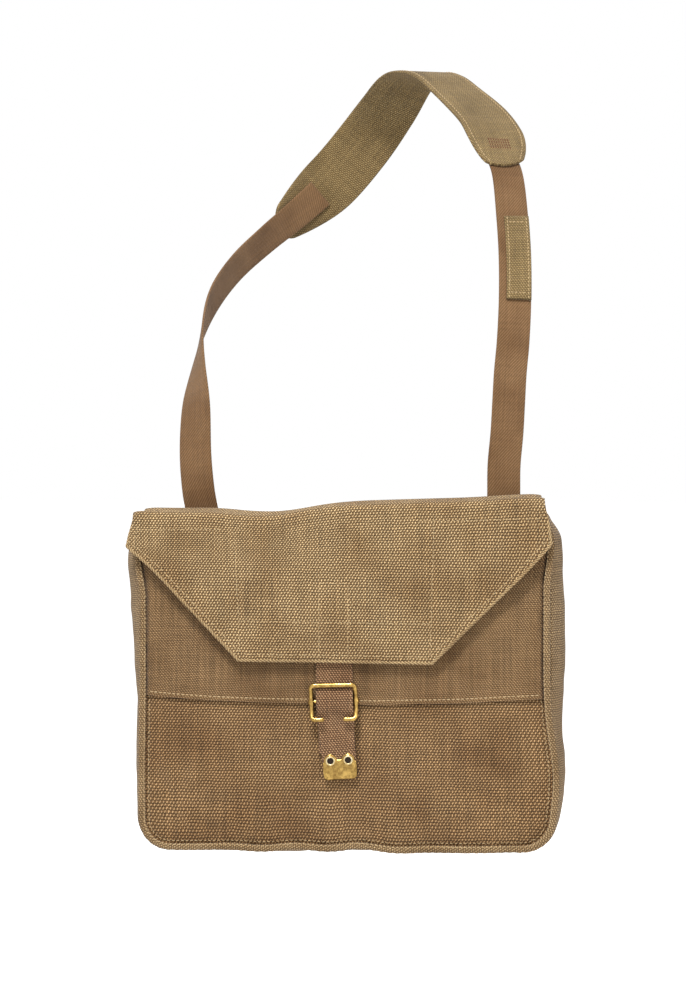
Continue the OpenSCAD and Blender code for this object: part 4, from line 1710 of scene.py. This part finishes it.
@dataclass
class Buckles:
    """Three buckles, each a wire bent into an open-fronted frame, and their bars."""

    finishes: Finishes
    wire: float = 3.6
    width: float = 41.0
    height: float = 32.5
    gap: float = 12.0
    bend_r: float = 2.9
    eye: float = 0.55
    eye_reach: float = 2.2
    tip_round: float = 1.6
    step: float = 0.7
    front_sag: float = 4.5
    back_sag: float = 8.2
    front_tilt: float = 2.0

    def outline(self) -> np.ndarray:
        """Draws the wire's middle line, from the left prong's tip round to the right one's.

        Returns:
            The line's points, as across and up from the bar.
        """
        half_w, half_h = (self.width - self.wire) / 2, (self.height - self.wire) / 2
        tip = (self.gap + self.wire) / 2
        turn = np.radians(np.linspace(0, 90, 8))
        r = self.bend_r
        low = np.stack([-half_w + r - r * np.sin(turn), -half_h + r - r * np.cos(turn)], 1)
        high = np.stack([-half_w + r - r * np.cos(turn), half_h - r + r * np.sin(turn)], 1)
        left = np.vstack([[(-tip, -half_h)], low, high])
        return evenly(np.vstack([left, left[::-1] * [-1, 1]]), self.step)

    def frame(
        self, name: str, node: str, bar: str, body: str, facing: int, sag: float, tilt: float = 0.0,
    ) -> None:
        """Makes one buckle's frame.

        Args:
            name: The piece's name.
            node: The node that it stands for.
            bar: The node of the bar that it turns on.
            body: The body that it moves with.
            facing: -1 if its ends curve to the front and 1 if they curve to the back.
            sag: How far they curve.
            tilt: Degrees that the frame has dropped to its left.
        """
        mesher = Mesher()
        low, high = (np.array(corner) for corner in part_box(bar))
        middle = ((low + high) / 2 - mesher.origin) / MM
        line = self.outline()
        share = line[:, 1] / ((self.height - self.wire) / 2)
        c, s = math.cos(math.radians(tilt)), math.sin(math.radians(tilt))
        path = middle + np.stack([
            line[:, 0] * c - line[:, 1] * s, facing * sag * share**2, line[:, 0] * s + line[:, 1] * c,
        ], 1)
        up = np.broadcast_to([0.0, float(facing), 0.0], path.shape)
        # The wire is hammered a little flat, and swells where the bar goes through it
        swell = 1 + self.eye * np.exp(-((line[:, 1] / self.eye_reach) ** 2))
        count = np.arange(len(line))
        ends = np.minimum(count, count[::-1]) * self.step
        tip = np.sqrt(np.clip(1 - (1 - np.clip(ends / self.tip_round, 0, 1)) ** 2, 0.06, 1))
        flat = np.array([1.06, 0.98])
        section = round_section(self.wire / 2, 14)[None] * (swell * tip)[:, None, None] * flat
        mesher.add_sweep(path, up, section)
        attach(mesher.build(name, [self.finishes.brass], Slot.BRASS, node), body)

    def build(self) -> None:
        """Makes the frames, and gives the bars their brass."""
        self.frame(
            "front_buckle_wire", "front_buckle", "front_buckle_bar", Body.CLOSURE_BUCKLE.value, -1,
            self.front_sag, self.front_tilt,
        )
        for side in ("left", "right"):
            self.frame(
                f"back_buckle_wire_{side}", f"back_buckle_{side}", f"back_bar_{side}",
                Body.BACK_BUCKLES.value, 1, self.back_sag,
            )
        for name in ("front_buckle_bar", "back_bar_left", "back_bar_right"):
            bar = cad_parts[name]
            bar.data.materials.clear()
            bar.data.materials.append(self.finishes.brass)
            bar.data.polygons.foreach_set("use_smooth", np.ones(len(bar.data.polygons), bool))
            log.info("%s: brass", name)


@dataclass
class Studio:
    """The camera, the lights and the pale floor, in metres."""

    drop: float = 0.25
    distance: float = 2.5
    azimuth: float = 6.0
    elevation: float = 2.5
    lens: float = 107.0
    sensor: float = 36.0
    ambient: float = 0.5
    floor_half: float = 12.0

    def camera(self) -> None:
        """Puts the camera in front of the bag, a little to its right."""
        target = Vector(Mesher().at(-1.7, -30, 299.8))
        a, e = math.radians(self.azimuth), math.radians(self.elevation)
        back = Vector((math.sin(a) * math.cos(e), -math.cos(a) * math.cos(e), math.sin(e)))
        data = bpy.data.cameras.new("camera")
        data.lens, data.sensor_width = self.lens, self.sensor
        eye = bpy.data.objects.new("camera", data)
        eye.location = target + back * self.distance
        eye.rotation_euler = (-back).to_track_quat("-Z", "Y").to_euler()
        bpy.context.scene.collection.objects.link(eye)
        bpy.context.scene.camera = eye

    def lamp(self, name: str, place: tuple[float, float, float], size: float, power: float) -> None:
        """Hangs a square soft lamp that shines at the bag.

        Args:
            name: The lamp's name.
            place: Where it hangs, from the bag's middle.
            size: Its side.
            power: Its power in watts.
        """
        data = bpy.data.lights.new(name, "AREA")
        data.energy, data.size = power, size
        lamp = bpy.data.objects.new(name, data)
        middle = Vector(Mesher().at(0, 0, 200))
        lamp.location = middle + Vector(place)
        lamp.rotation_euler = (-Vector(place)).to_track_quat("-Z", "Y").to_euler()
        bpy.context.scene.collection.objects.link(lamp)

    def floor(self) -> None:
        """Lays the pale floor, which shows white and keeps the bag's shadow."""
        half, low = self.floor_half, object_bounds()[0].z - self.drop
        mesh = bpy.data.meshes.new("floor")
        corners = [(-half, -half, low), (half, -half, low), (half, half, low), (-half, half, low)]
        mesh.from_pydata(corners, [], [(0, 1, 2, 3)])
        s = Shader(bpy.data.materials.new("floor_white_card"))
        seen = s.node("ShaderNodeLightPath").outputs["Is Camera Ray"]
        card = s.node("ShaderNodeBsdfDiffuse", {"Color": linear("#f2f2f2")})
        share = s.node("ShaderNodeMath", {0: seen, 1: 0.68}, operation="MULTIPLY").outputs[0]
        glow = s.node("ShaderNodeEmission", {"Color": (1, 1, 1, 1), "Strength": share})
        both = s.node("ShaderNodeAddShader", {0: card.outputs[0], 1: glow.outputs[0]})
        s.node("ShaderNodeOutputMaterial", {0: both.outputs[0]})
        mesh.materials.append(s.owner)
        floor = bpy.data.objects.new("floor", mesh)
        bpy.context.scene.collection.objects.link(floor)
        floor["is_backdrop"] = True

    def world(self) -> None:
        """Surrounds the bag with even light, and shows white where nothing is."""
        world = bpy.data.worlds.new("studio")
        s = Shader(world)
        path = s.node("ShaderNodeLightPath").outputs
        white = s.node(
            "ShaderNodeMath", {0: path["Is Camera Ray"], 1: path["Is Glossy Ray"]}, operation="MAXIMUM",
        ).outputs[0]
        level = s.node("ShaderNodeMapRange", {0: white, 3: self.ambient, 4: 1.0}).outputs[0]
        plain = s.node("ShaderNodeBackground", {"Color": (1, 1, 1, 1), "Strength": level})
        s.node("ShaderNodeOutputWorld", {0: plain.outputs[0]})
        bpy.context.scene.world = world

    def build(self) -> None:
        """Sets up the whole studio."""
        bpy.context.scene.view_settings.view_transform = "Standard"
        self.camera()
        self.floor()
        self.world()
        self.lamp("key", (-0.35, -1.45, 2.3), 0.55, 68.0)
        self.lamp("fill", (1.9, -1.2, 0.6), 1.6, 9.0)
        self.lamp("rear", (0.4, 2.3, 1.3), 1.6, 14.0)


def main() -> None:
    """Builds the bag and the studio round it."""
    logging.basicConfig(level=logging.INFO, format="%(name)s %(message)s")
    studio = Studio()
    studio.build()
    finishes = Finishes()
    shape = BagShape()
    BagBody(finishes, shape).build()
    Flap(finishes, shape).build()
    ClosureStrap(finishes).build()
    WebbingLoop(finishes, "front_chape_webbing", "front_chape", -9, -30, 130, -1, 2.4, 44.5).build()
    for side, name in ((-1, "left"), (1, "right")):
        WebbingLoop(
            finishes, f"back_chape_webbing_{name}", f"back_chape_{name}", side * 130, 30, 271, 1, 0, 48,
        ).build()
    ShoulderStrap(finishes).build()
    Buckles(finishes).build()


if __name__ == "__main__":
    main()
